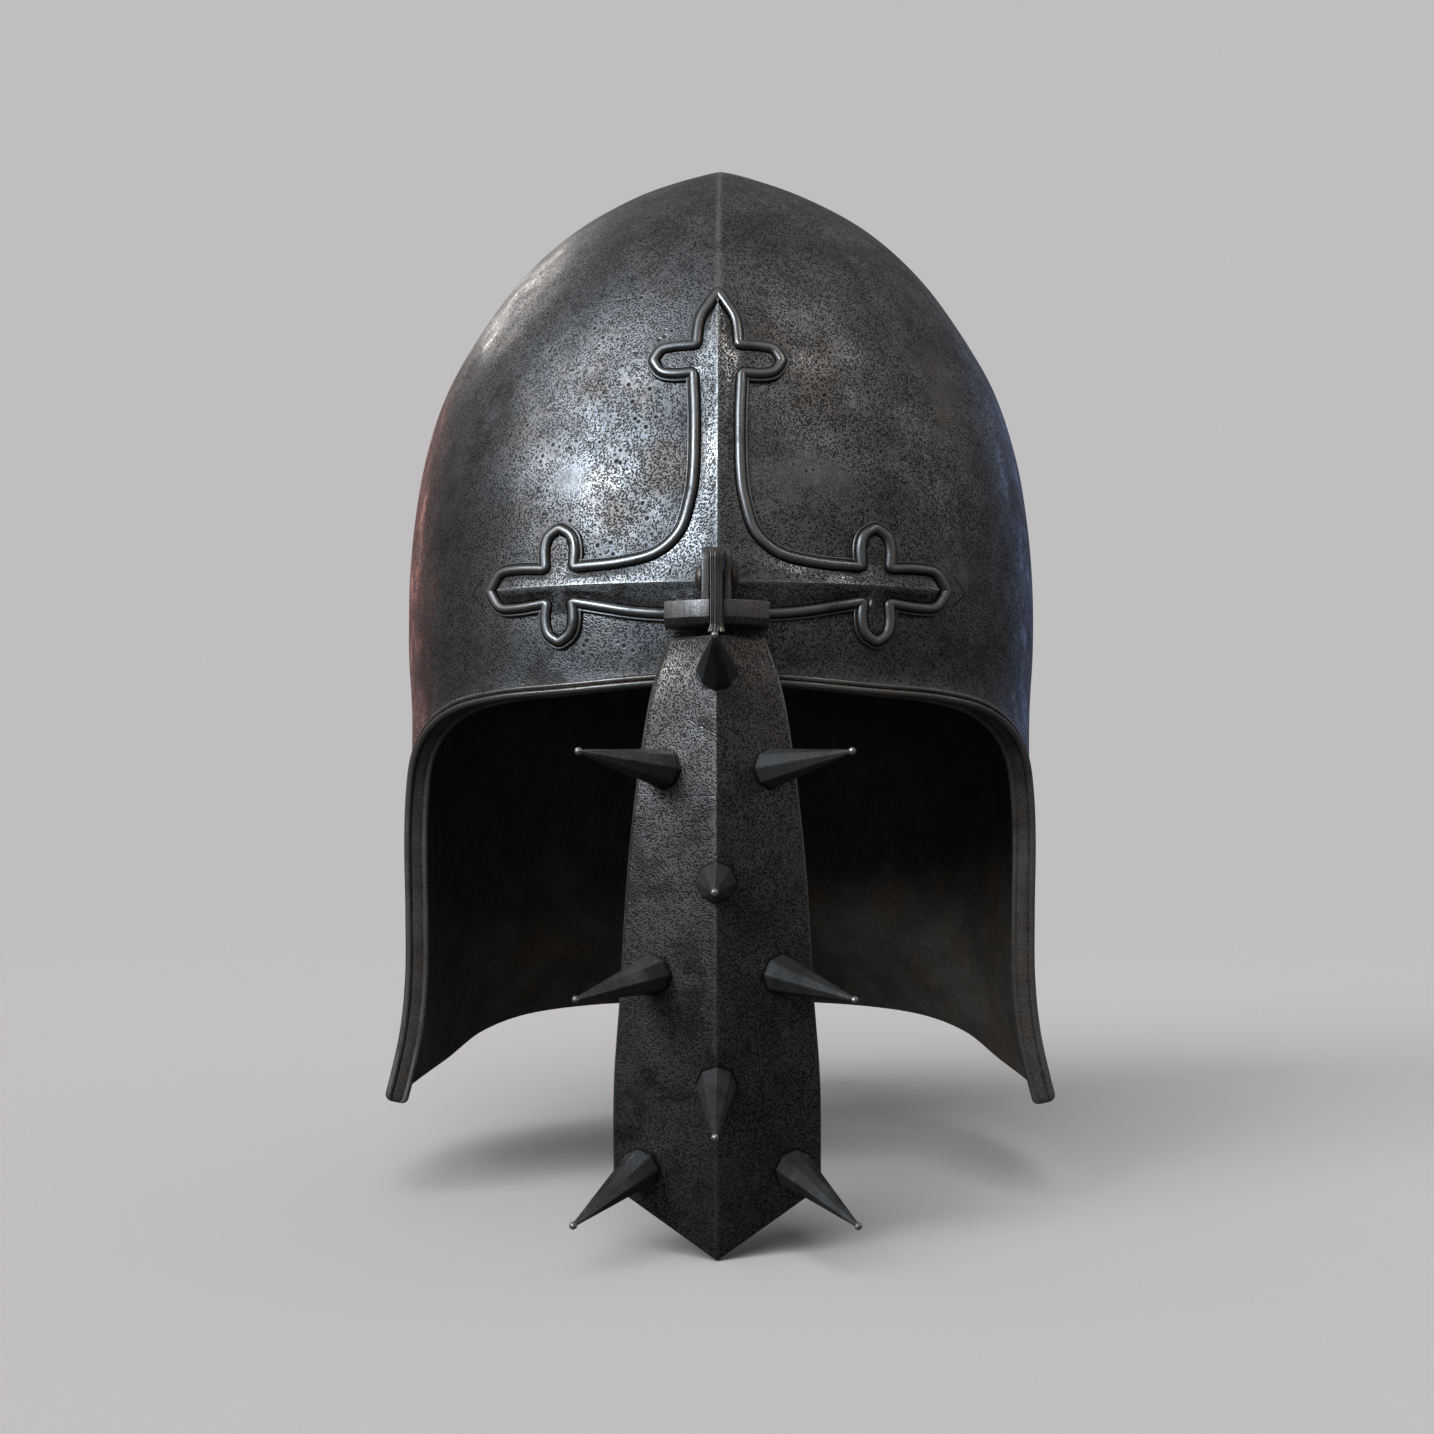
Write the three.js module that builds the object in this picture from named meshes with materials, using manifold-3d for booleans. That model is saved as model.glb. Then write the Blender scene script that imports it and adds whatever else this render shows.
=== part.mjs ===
// Barbute with a raised cross on the brow and a hinged, spiked nasal.
// Millimetres, +Z up, the face opening looks along -Y, x = 0 is the plane of symmetry.
// The origin is the middle of the head hollow at the wearer's eye level.
import * as THREE from 'three';
import { mergeVertices } from 'three/addons/utils/BufferGeometryUtils.js';
import ManifoldModule from 'manifold-3d';

const wasm = await ManifoldModule();
wasm.setup();

// Main sizes of the bowl, from the outside of the sheet: half its width over the ears, brow to
// nape, eye level up to the apex, and eye level down to the lowest ring of the cheeks
const BOWL_HALF_WIDTH = 112.4;
const BOWL_DEPTH = 281.5;
const BOWL_HEIGHT = 244;
const CHEEK_DROP = 96;
const SHEET = 2;
const PIECE_GAP = 0.3;
const WORKING_GAP = 0.3;

// Level rings of the bowl from the apex down, as shares of the main sizes: half width, y of the
// widest place, y of the keel in front and behind; then how square the ring is, and how sharply
// the keel stands out of it. A level is a share of the height above the eyes or the drop below
const BOWL_RINGS = [
  { level: 1, halfWidth: 0, widest: 0.0639, front: 0.0639, back: 0.0639, power: 2.0, keel: 0.16 },
  { level: 0.9816, halfWidth: 0.1246, widest: 0.0639, front: -0.0213, back: 0.1421, power: 2.0, keel: 0.14 },
  { level: 0.957, halfWidth: 0.2447, widest: 0.0639, front: -0.0959, back: 0.2131, power: 2.0, keel: 0.11 },
  { level: 0.9262, halfWidth: 0.387, widest: 0.0604, front: -0.1634, back: 0.2771, power: 2.0, keel: 0.08 },
  { level: 0.875, halfWidth: 0.5338, widest: 0.0568, front: -0.2416, back: 0.3446, power: 2.05, keel: 0.05 },
  { level: 0.8074, halfWidth: 0.6717, widest: 0.0533, front: -0.3091, back: 0.4014, power: 2.1, keel: 0.03 },
  { level: 0.7254, halfWidth: 0.79, widest: 0.0497, front: -0.3623, back: 0.4476, power: 2.15, keel: 0.02 },
  { level: 0.6393, halfWidth: 0.8897, widest: 0.0497, front: -0.3979, back: 0.4831, power: 2.2, keel: 0.015 },
  { level: 0.5451, halfWidth: 0.9537, widest: 0.0497, front: -0.4263, back: 0.508, power: 2.2, keel: 0.012 },
  { level: 0.4508, halfWidth: 0.9849, widest: 0.0497, front: -0.4476, back: 0.524, power: 2.25, keel: 0.012 },
  { level: 0.3566, halfWidth: 1, widest: 0.0497, front: -0.46, back: 0.5329, power: 2.25, keel: 0.012 },
  { level: 0.2623, halfWidth: 0.9982, widest: 0.0497, front: -0.4654, back: 0.5346, power: 2.3, keel: 0.012 },
  { level: 0.168, halfWidth: 0.984, widest: 0.0533, front: -0.4636, back: 0.5258, power: 2.4, keel: 0.012 },
  { level: 0.0738, halfWidth: 0.9715, widest: 0.0568, front: -0.4547, back: 0.5044, power: 2.85, keel: 0.012 },
  { level: -0.0521, halfWidth: 0.9644, widest: 0.0639, front: -0.4405, back: 0.4778, power: 3.15, keel: 0.012 },
  { level: -0.2917, halfWidth: 0.9626, widest: 0.071, front: -0.4298, back: 0.4565, power: 3.15, keel: 0.012 },
  { level: -0.5, halfWidth: 0.9715, widest: 0.0782, front: -0.4227, back: 0.4654, power: 3.0, keel: 0.012 },
  { level: -0.6875, halfWidth: 0.992, widest: 0.0853, front: -0.4227, back: 0.5187, power: 2.9, keel: 0.012 },
  { level: -0.8542, halfWidth: 1.0231, widest: 0.0924, front: -0.4263, back: 0.5684, power: 2.9, keel: 0.012 },
  { level: -1, halfWidth: 1.0587, widest: 0.0995, front: -0.4298, back: 0.611, power: 2.9, keel: 0.012 },
];

// Cut edge of the sheet round the face, from the middle of the brow to the cheek corner
const FACE_EDGE = [
  { bearing: 0, level: 0.2008 },
  { bearing: 8, level: 0.1967 },
  { bearing: 19, level: 0.1885 },
  { bearing: 29, level: 0.1836 },
  { bearing: 38, level: 0.1721 },
  { bearing: 45.5, level: 0.1475 },
  { bearing: 51, level: 0.1086 },
  { bearing: 54, level: 0.041 },
  { bearing: 54.6, level: -0.2083 },
  { bearing: 55, level: -0.5208 },
  { bearing: 55.8, level: -0.9188 },
];
// Lower edge of the sheet from the cheek corner round to the middle of the nape
const NECK_EDGE = [
  { bearing: 55.8, level: -0.9188 },
  { bearing: 58.5, level: -0.9406 },
  { bearing: 75, level: -0.9604 },
  { bearing: 98, level: -0.9792 },
  { bearing: 119, level: -0.9375 },
  { bearing: 131, level: -0.8385 },
  { bearing: 141, level: -0.7812 },
  { bearing: 152, level: -0.7521 },
  { bearing: 166, level: -0.7354 },
  { bearing: 180, level: -0.7271 },
];
const FACE_EDGE_COLUMNS = 20;
const NECK_EDGE_COLUMNS = 16;
const BOWL_ROWS = 20;

// Trim round the face: how far it stands out of the sheet's outer face, how far it goes behind
// that face, and how far it reaches from the cut edge into the opening
const FACE_RIM_OUT = 3;
const FACE_RIM_BACK = 4.7;
const FACE_RIM_REACH = 3.8;
// Its section as shares of those sizes
const FACE_RIM_SECTION = [
  { out: 1, reach: 0 },
  { out: 1, reach: 0.343 },
  { out: 0.8, reach: 0.457 },
  { out: 1, reach: 0.571 },
  { out: 0.867, reach: 0.914 },
  { out: 0.467, reach: 1 },
  { out: 0.3, reach: 0.857 },
  { out: -0.596, reach: 0.857 },
  { out: -0.787, reach: 1 },
  { out: -1, reach: 0.886 },
  { out: -1, reach: 0 },
];

// Cross on the brow: height of its arm over the brow's cut edge, from there up to its crown, half
// its span, and the size of its lobes
const BROW_TO_ARM = 26.6;
const CROSS_RISE = 71.8;
const CROSS_HALF_SPAN = 71.4;
const CROSS_LOBE = 12.5;
const CROSS_ARM_X = 0.6779;
// Middle line of the bead round it, its right half as seen from the front: x as a share of half
// the span, z of the rise. A lobe starts at its root, aims 0 to the side or 90 up, and has its
// length and its half widths at root, middle and shoulder as shares of the lobe size
const CROSS_LOBES = {
  top: {
    x: 0, z: 1.0669, aim: 90, root: 0.528, belly: 0.432, shoulder: 0.184, length: 1.392, rise: 1,
  },
  crown: {
    x: 0.1036, z: 1, aim: 0, root: 0.344, belly: 0.368, shoulder: 0.296, length: 1, rise: 0,
  },
  up: {
    x: 0.6779, z: 0.0794, aim: 90, root: 0.36, belly: 0.376, shoulder: 0.28, length: 1.008, rise: 0,
  },
  end: {
    x: 0.7339, z: 0.0028, aim: 0, root: 0.384, belly: 0.488, shoulder: 0.432, length: 1.52, rise: 1,
  },
  down: {
    x: 0.6765, z: -0.0696, aim: -90, root: 0.328, belly: 0.352, shoulder: 0.264, length: 0.984, rise: 0,
  },
};
const CROSS_SHAFT = [
  { x: 0.0952, z: 0.7159, ridgeX: 0, ridgeZ: 0.7159 },
  { x: 0.1008, z: 0.4513, ridgeX: 0, ridgeZ: 0.4513 },
  { x: 0.1162, z: 0.3538, ridgeX: 0, ridgeZ: 0.2841 },
  { x: 0.1597, z: 0.2201, ridgeX: 0, ridgeZ: 0 },
  { x: 0.2549, z: 0.1323, ridgeX: 0.1681, ridgeZ: 0 },
  { x: 0.4062, z: 0.0933, ridgeX: 0.3501, ridgeZ: 0 },
];
const CROSS_LOWER_EDGE = [
  { x: 0.3501, z: -0.1198, ridgeX: 0.3501, ridgeZ: 0 },
  { x: 0.1681, z: -0.1337, ridgeX: 0.1681, ridgeZ: 0 },
  { x: 0, z: -0.1365, ridgeX: 0, ridgeZ: 0 },
];
const CROSS_EDGE_STEPS = 2;
const CROSS_FACET_STEPS = 2;
const CROSS_EDGE_HEIGHT = 1.0;
const CROSS_RIDGE_HEIGHT = 2.7;
// Section of the bead as shares: distance outward from its middle line and height over the bowl
const CROSS_BEAD_HALF_WIDTH = 1.5;
const CROSS_BEAD_HEIGHT = 2.1;
const CROSS_BEAD_SECTION = [
  { away: -1, height: 0 },
  { away: -0.92, height: 0.61 },
  { away: -0.46, height: 1 },
  { away: 0.46, height: 1 },
  { away: 0.92, height: 0.61 },
  { away: 1, height: 0 },
];

// Hinge bracket: a D-shaped shelf, slotted from the front, with two ears for the pin. Reaches are
// from the pin's axis forward, PIN_STANDOFF from the bracket's seat to the pin's axis
const PIN_BELOW_ARM = 0.2;
const PIN_STANDOFF = 11.5;
const PIN_RADIUS = 2.5;
const PIN_HEAD_RADIUS = 3.9;
const PIN_HEAD_LENGTH = 1.8;
const SHELF_HALF_WIDTH = 15.6;
const SHELF_REACH = 8.3;
const SHELF_CORNER_REACH = 1.5;
const SHELF_BELOW_PIN = 7;
const SHELF_THICKNESS = 7.4;
const SHELF_BEVEL_HEIGHT = 2.2;
const SHELF_BEVEL_DEPTH = 1.7;
const SHELF_FRONT_STEPS = 8;
const EAR_THICKNESS = 2.2;
const EAR_ABOVE_PIN = 8.8;
const EAR_REACH = 7.6;
const EAR_CORNER_HEIGHT = 4;
const EAR_CORNER_DEPTH = 3.5;
const SLOT_ROOM = 0.8;

// Tang of the nasal, the blade between the ears
const TANG_THICKNESS = 3.8;
const TANG_REACH = 10.6;
const TANG_NOSE_RADIUS = 8.2;
const TANG_NOSE_STEPS = 10;
const TANG_CORNER = 3;
const TANG_LOW_DEPTH = 7;
const TANG_FOOT_DEPTH = 3;
const TANG_FOOT_HEIGHT = 1.7;
const TANG_FOOT_FLARE = 0.6;

// Nasal plate: its top edge under the pin, its length down to the point, the height of the point,
// its half width, how far its ridge stands ahead of the tang, and the curve of that ridge
const NASAL_BELOW_PIN = 17.6;
const NASAL_LENGTH = 184.4;
const NASAL_POINT_HEIGHT = 20;
const NASAL_HALF_WIDTH = 31;
const NASAL_AHEAD = 1.9;
const NASAL_RIDGE_RADIUS = 400;
const NASAL_FOLD_DEPTH = 13;
const NASAL_SHEET = 2.4;
// Where the ridge stands furthest forward, and the half widths, as shares
const NASAL_BULGE = 0.3145;
const NASAL_WIDTHS = [
  { down: 0, halfWidth: 0.4677 },
  { down: 0.086, halfWidth: 0.629 },
  { down: 0.2111, halfWidth: 0.7484 },
  { down: 0.3743, halfWidth: 0.8516 },
  { down: 0.5811, halfWidth: 0.929 },
  { down: 0.7116, halfWidth: 0.9871 },
  { down: 0.8368, halfWidth: 1 },
  { down: 1, halfWidth: 0.9935 },
];
const NASAL_ROWS = 14;
const NASAL_HALF_COLUMNS = 3;

// Spikes: foot on the plate as a share of its half width and of its length down from the top,
// direction as degrees to the side and degrees up from straight ahead
const SPIKE_LENGTH = 45;
const SPIKE_RADIUS = 6;
const SPIKE_NECK_RADIUS = 0.65;
const SPIKE_BALL_RADIUS = 1.15;
const SPIKE_FACETS = 8;
const SPIKES = [
  { name: 'spike_top', across: 0, down: 0.056, aside: 0, up: 8 },
  { name: 'spike_mid', across: 0, down: 0.3928, aside: 0, up: -2.3 },
  { name: 'spike_low', across: 0, down: 0.7144, aside: 0, up: -12 },
  { name: 'spike_right_1', across: 0.6752, down: 0.2133, aside: 30.5, up: 5 },
  { name: 'spike_right_2', across: 0.6566, down: 0.5403, aside: 27, up: -6 },
  { name: 'spike_right_3', across: 0.7225, down: 0.8547, aside: 24, up: -13.6 },
  { name: 'spike_left_1', across: -0.6752, down: 0.2133, aside: -30.5, up: 5 },
  { name: 'spike_left_2', across: -0.6566, down: 0.5403, aside: -27, up: -6 },
  { name: 'spike_left_3', across: -0.7225, down: 0.8547, aside: -24, up: -13.6 },
];

// Materials
const SOOTED_STEEL = { color: 0x33363a, roughness: 0.55, metalness: 0.9 };
const RUBBED_STEEL = { color: 0x5b5751, roughness: 0.38, metalness: 0.95 };
const BLUED_STEEL = { color: 0x2b3036, roughness: 0.35, metalness: 0.95 };

const DEGREE = Math.PI / 180;

function heightOf(level) {
  return level * (level > 0 ? BOWL_HEIGHT : CHEEK_DROP);
}

const bowlRings = BOWL_RINGS.map((row) => ({
  ...row,
  z: heightOf(row.level),
  halfWidth: row.halfWidth * BOWL_HALF_WIDTH,
  widest: row.widest * BOWL_DEPTH,
  front: row.front * BOWL_DEPTH,
  back: row.back * BOWL_DEPTH,
}));

// Smooth value of one column of a table at z, the rows running from high z to low z
function tableAt(table, column, z) {
  const last = table.length - 1;
  let i = 0;
  while (i < last - 1 && z < table[i + 1].z) {
    i += 1;
  }
  const slope = (k) => {
    const a = table[Math.max(k - 1, 0)];
    const b = table[Math.min(k + 1, last)];
    return (b[column] - a[column]) / (b.z - a.z);
  };
  const from = table[i];
  const to = table[i + 1];
  const span = to.z - from.z;
  const u = THREE.MathUtils.clamp((z - from.z) / span, 0, 1);
  const u2 = u * u;
  const u3 = u2 * u;
  return (2 * u3 - 3 * u2 + 1) * from[column]
    + (u3 - 2 * u2 + u) * span * slope(i)
    + (3 * u2 - 2 * u3) * to[column]
    + (u3 - u2) * span * slope(i + 1);
}

// Outer face of the bowl; the bearing is 0 in front and 90 on the wearer's left (+X)
function bowlPoint(bearing, z) {
  const halfWidth = Math.max(tableAt(bowlRings, 'halfWidth', z), 1e-6);
  const widest = tableAt(bowlRings, 'widest', z);
  const across = Math.abs(Math.sin(bearing * DEGREE));
  const along = Math.cos(bearing * DEGREE);
  const reach = along > 0
    ? widest - tableAt(bowlRings, 'front', z)
    : tableAt(bowlRings, 'back', z) - widest;
  const power = tableAt(bowlRings, 'power', z);
  const sum = (across / halfWidth) ** power + (Math.abs(along) / Math.max(reach, 1e-6)) ** power;
  const flank = 1 - 4 * tableAt(bowlRings, 'keel', z) * across * (1 - across);
  const radius = flank / sum ** (1 / power);
  return new THREE.Vector3(radius * Math.sin(bearing * DEGREE), widest - radius * along, z);
}

function bowlNormal(bearing, z) {
  const turn = 0.5;
  const rise = 0.5;
  const top = Math.min(z + rise, bowlRings[0].z - rise);
  const sideways = bowlPoint(bearing + turn, top - rise).sub(bowlPoint(bearing - turn, top - rise));
  const upward = bowlPoint(bearing, top).sub(bowlPoint(bearing, top - 2 * rise));
  return sideways.cross(upward).normalize();
}

// Bearing at which the front of the bowl has the given x
function bearingAt(x, z) {
  let low = 0;
  let high = 90;
  for (let step = 0; step < 40; step += 1) {
    const middle = (low + high) / 2;
    if (bowlPoint(middle, z).x < Math.abs(x)) {
      low = middle;
    } else {
      high = middle;
    }
  }
  return Math.sign(x) * (low + high) / 2;
}

// Place over the front of the bowl, given as it is seen from the front
function overBowl(x, z, height) {
  const bearing = bearingAt(x, z);
  return bowlPoint(bearing, z).addScaledVector(bowlNormal(bearing, z), height);
}

// Points at even distances along an edge table of bearing and z
function edgeStations(table, columns) {
  const fine = [];
  const path = new THREE.CatmullRomCurve3(
    table.map((row) => new THREE.Vector3(row.bearing, heightOf(row.level), 0)), false, 'centripetal');
  const fineSteps = 400;
  let length = 0;
  for (let i = 0; i <= fineSteps; i += 1) {
    const place = path.getPoint(i / fineSteps);
    const point = bowlPoint(place.x, place.y);
    length += i ? point.distanceTo(fine[i - 1].point) : 0;
    fine.push({ bearing: place.x, z: place.y, point, length });
  }
  const stations = [];
  for (let k = 0; k <= columns; k += 1) {
    const wanted = length * k / columns;
    stations.push(fine.find((place) => place.length >= wanted - 1e-9) ?? fine[fineSteps]);
  }
  return { stations, length };
}

const faceEdge = edgeStations(FACE_EDGE, FACE_EDGE_COLUMNS);
const neckEdge = edgeStations(NECK_EDGE, NECK_EDGE_COLUMNS);

// Right half of the whole sheet edge, each place with the bearing its column leaves the apex at
const sheetEdge = [
  ...faceEdge.stations.map((place) => ({ ...place, along: place.length })),
  ...neckEdge.stations.slice(1).map((place) => ({ ...place, along: faceEdge.length + place.length })),
].map((place) => ({ ...place, start: 180 * place.along / (faceEdge.length + neckEdge.length) }));

// Closed mesh from points and triangles, turned to face outward
function closedMesh(name, points, triangles, look) {
  const positions = new Float32Array(points.flatMap((point) => [point.x, point.y, point.z]));
  const raw = new THREE.BufferGeometry();
  raw.setAttribute('position', new THREE.BufferAttribute(positions, 3));
  raw.setIndex(triangles.flat());
  const welded = mergeVertices(raw, 1e-4);
  const index = welded.index.array;
  const kept = [];
  let volume = 0;
  const corner = [new THREE.Vector3(), new THREE.Vector3(), new THREE.Vector3()];
  for (let i = 0; i < index.length; i += 3) {
    const [a, b, c] = [index[i], index[i + 1], index[i + 2]];
    if (a !== b && b !== c && c !== a) {
      kept.push([a, b, c]);
      corner.forEach((point, k) => point.fromBufferAttribute(welded.attributes.position, index[i + k]));
      volume += corner[0].dot(corner[1].clone().cross(corner[2]));
    }
  }
  const facing = volume > 0 ? kept : kept.map(([a, b, c]) => [a, c, b]);
  welded.setIndex(facing.flat());
  return meshOf(name, welded, look);
}

function meshOf(name, geometry, look) {
  const flat = geometry.toNonIndexed();
  flat.deleteAttribute('uv');
  flat.deleteAttribute('normal');
  flat.computeVertexNormals();
  const mesh = new THREE.Mesh(flat, new THREE.MeshStandardMaterial(look));
  mesh.name = name;
  return mesh;
}

// Two triangles between places i and j of one row and the same places of the next row
function quad(rowA, rowB, i, j) {
  return [[rowA + i, rowA + j, rowB + j], [rowA + i, rowB + j, rowB + i]];
}

// Bowl, cheeks and neck guard in one sheet: an outer and an inner face that meet at the edge
function skull() {
  const last = bowlRings.length - 1;
  const depths = [0];
  for (let i = 1; i <= last; i += 1) {
    const [a, b] = [bowlRings[i - 1], bowlRings[i]];
    depths.push(depths[i - 1] + Math.hypot(b.halfWidth - a.halfWidth, b.z - a.z));
  }
  const between = (value, keys, values) => {
    const i = Math.max(1, keys.findIndex((key, k) => k > 0 && value <= key));
    return values[i - 1] + (values[i] - values[i - 1]) * (value - keys[i - 1]) / (keys[i] - keys[i - 1]);
  };
  const heights = bowlRings.map((ring) => ring.z);
  const falling = heights.map((z) => -z);
  const columns = [
    ...sheetEdge.map((place) => ({ ...place, side: 1 })),
    ...sheetEdge.slice(1, -1).reverse().map((place) => ({ ...place, side: -1 })),
  ];
  const points = [];
  const triangles = [];
  const apexZ = bowlRings[0].z;
  const apexY = bowlRings[0].widest;
  const faces = [0, SHEET].map((inset) => {
    const apex = points.length;
    points.push(new THREE.Vector3(0, apexY, apexZ - inset));
    for (let row = 1; row <= BOWL_ROWS; row += 1) {
      const share = row / BOWL_ROWS;
      for (const column of columns) {
        const depth = share * between(-column.z, falling, depths);
        const z = between(depth, depths, heights);
        const bearing = column.start + (column.bearing - column.start) * share;
        const point = bowlPoint(bearing, z).addScaledVector(bowlNormal(bearing, z), -inset);
        point.x *= column.side;
        points.push(point);
      }
    }
    return apex;
  });
  const count = columns.length;
  for (const apex of faces) {
    const flip = apex === faces[0] ? 1 : -1;
    const add = (a, b, c) => triangles.push(flip > 0 ? [a, b, c] : [a, c, b]);
    for (let i = 0; i < count; i += 1) {
      const j = (i + 1) % count;
      add(apex, apex + 1 + i, apex + 1 + j);
      for (let row = 0; row < BOWL_ROWS - 1; row += 1) {
        const upper = apex + 1 + row * count;
        quad(upper, upper + count, i, j).forEach(([a, b, c]) => add(c, b, a));
      }
    }
  }
  const lowest = (BOWL_ROWS - 1) * count + 1;
  for (let i = 0; i < count; i += 1) {
    triangles.push(...quad(faces[0] + lowest, faces[1] + lowest, i, (i + 1) % count)
      .map(([a, b, c]) => [c, b, a]));
  }
  return closedMesh('skull', points, triangles, SOOTED_STEEL);
}

// Body swept through section rings; an open sweep gets flat ends
function sweep(name, rings, closed, look) {
  const count = rings[0].length;
  const points = rings.flat();
  const triangles = [];
  const spans = closed ? rings.length : rings.length - 1;
  for (let r = 0; r < spans; r += 1) {
    const next = ((r + 1) % rings.length) * count;
    for (let i = 0; i < count; i += 1) {
      triangles.push(...quad(r * count, next, i, (i + 1) % count));
    }
  }
  if (!closed) {
    const lastRing = (rings.length - 1) * count;
    const flat = faceRimSection.map((row) => new THREE.Vector2(row.out, row.reach));
    for (const [a, b, c] of THREE.ShapeUtils.triangulateShape(flat, [])) {
      triangles.push([c, b, a], [lastRing + a, lastRing + b, lastRing + c]);
    }
  }
  return closedMesh(name, points, triangles, look);
}

// Trim section in mm
const faceRimSection = FACE_RIM_SECTION.map(({ out, reach }) => ({
  out: out * (out > 0 ? FACE_RIM_OUT : FACE_RIM_BACK),
  reach: PIECE_GAP + reach * (FACE_RIM_REACH - PIECE_GAP),
}));

function faceRim() {
  const half = sheetEdge.slice(0, FACE_EDGE_COLUMNS + 1);
  const path = [
    ...half.slice(1).reverse().map((place) => ({ bearing: -place.bearing, z: place.z })),
    ...half,
  ];
  const places = path.map((place) => bowlPoint(place.bearing, place.z));
  const rings = path.map((place, k) => {
    const before = places[Math.max(k - 1, 0)];
    const after = places[Math.min(k + 1, places.length - 1)];
    const outward = bowlNormal(place.bearing, place.z);
    const inward = after.clone().sub(before).cross(outward).normalize();
    return faceRimSection.map((row) => places[k].clone()
      .addScaledVector(outward, row.out)
      .addScaledVector(inward, row.reach));
  });
  return sweep('face_rim', rings, false, RUBBED_STEEL);
}

const browEdgeZ = heightOf(FACE_EDGE[0].level);
const crossArmZ = browEdgeZ + BROW_TO_ARM;
const crossArmX = CROSS_ARM_X * CROSS_HALF_SPAN;
const crossCrownZ = crossArmZ + CROSS_RISE;
const crossX = (share) => share * CROSS_HALF_SPAN;
const crossZ = (share) => crossArmZ + share * CROSS_RISE;

// Corners of one lobe in clockwise order; its root facets rise to the place where the ridges meet
function lobeCorners({ x, z, aim, root, belly, shoulder, length, rise }, meetX, meetZ) {
  const reach = length * CROSS_LOBE;
  const along = new THREE.Vector2(Math.cos(aim * DEGREE), Math.sin(aim * DEGREE));
  const place = (side, far) => [
    crossX(x) + along.x * far - along.y * side * CROSS_LOBE,
    crossZ(z) + along.y * far + along.x * side * CROSS_LOBE,
  ];
  const half = [
    { far: 0.5, side: belly, ridge: 0.5 },
    { far: 0.8, side: shoulder, ridge: 0.7 },
    { far: 1, side: 0, ridge: 0.78 },
  ];
  const corner = ({ far, side, ridge }) => {
    const [edgeX, edgeZ] = place(side, far * reach);
    const [ridgeX, ridgeZ] = place(0, ridge * reach);
    return { x: edgeX, z: edgeZ, ridgeX, ridgeZ, rise };
  };
  const rootCorner = (side) => {
    const [edgeX, edgeZ] = place(side, 0);
    return { x: edgeX, z: edgeZ, ridgeX: meetX, ridgeZ: meetZ, rise: 1 };
  };
  const back = half.slice(0, -1).reverse().map((row) => corner({ ...row, side: -row.side }));
  return [rootCorner(root), ...half.map(corner), ...back, rootCorner(-root)];
}

// Whole edge of the cross as a loop, each place with its ridge place and its direction away
function crossLoop() {
  const high = (row) => ({
    x: crossX(row.x),
    z: crossZ(row.z),
    ridgeX: crossX(row.ridgeX),
    ridgeZ: crossZ(row.ridgeZ),
    rise: 1,
  });
  const right = [
    ...lobeCorners(CROSS_LOBES.top, 0, crossCrownZ).slice(3),
    ...lobeCorners(CROSS_LOBES.crown, 0, crossCrownZ).slice(1),
    ...CROSS_SHAFT.map(high),
    ...lobeCorners(CROSS_LOBES.up, crossArmX, crossArmZ),
    ...lobeCorners(CROSS_LOBES.end, crossArmX, crossArmZ).slice(1, -1),
    ...lobeCorners(CROSS_LOBES.down, crossArmX, crossArmZ),
    ...CROSS_LOWER_EDGE.map(high),
  ];
  const left = right.slice(1, -1).reverse().map((row) => ({ ...row, x: -row.x, ridgeX: -row.ridgeX }));
  const corners = [...right, ...left];
  const count = corners.length;
  const away = corners.map((here, i) => {
    const before = corners[(i + count - 1) % count];
    const after = corners[(i + 1) % count];
    const entering = new THREE.Vector2(here.x - before.x, here.z - before.z).normalize();
    const leaving = new THREE.Vector2(after.x - here.x, after.z - here.z).normalize();
    const first = new THREE.Vector2(-entering.y, entering.x);
    const second = new THREE.Vector2(-leaving.y, leaving.x);
    return first.clone().add(second).divideScalar(1 + first.dot(second));
  });
  const loop = [];
  for (let i = 0; i < count; i += 1) {
    const j = (i + 1) % count;
    for (let step = 0; step < CROSS_EDGE_STEPS; step += 1) {
      const share = step / CROSS_EDGE_STEPS;
      const mix = (key) => corners[i][key] + (corners[j][key] - corners[i][key]) * share;
      loop.push({
        x: mix('x'),
        z: mix('z'),
        ridgeX: mix('ridgeX'),
        ridgeZ: mix('ridgeZ'),
        rise: mix('rise'),
        away: away[i].clone().lerp(away[j], share),
      });
    }
  }
  return loop;
}

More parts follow.
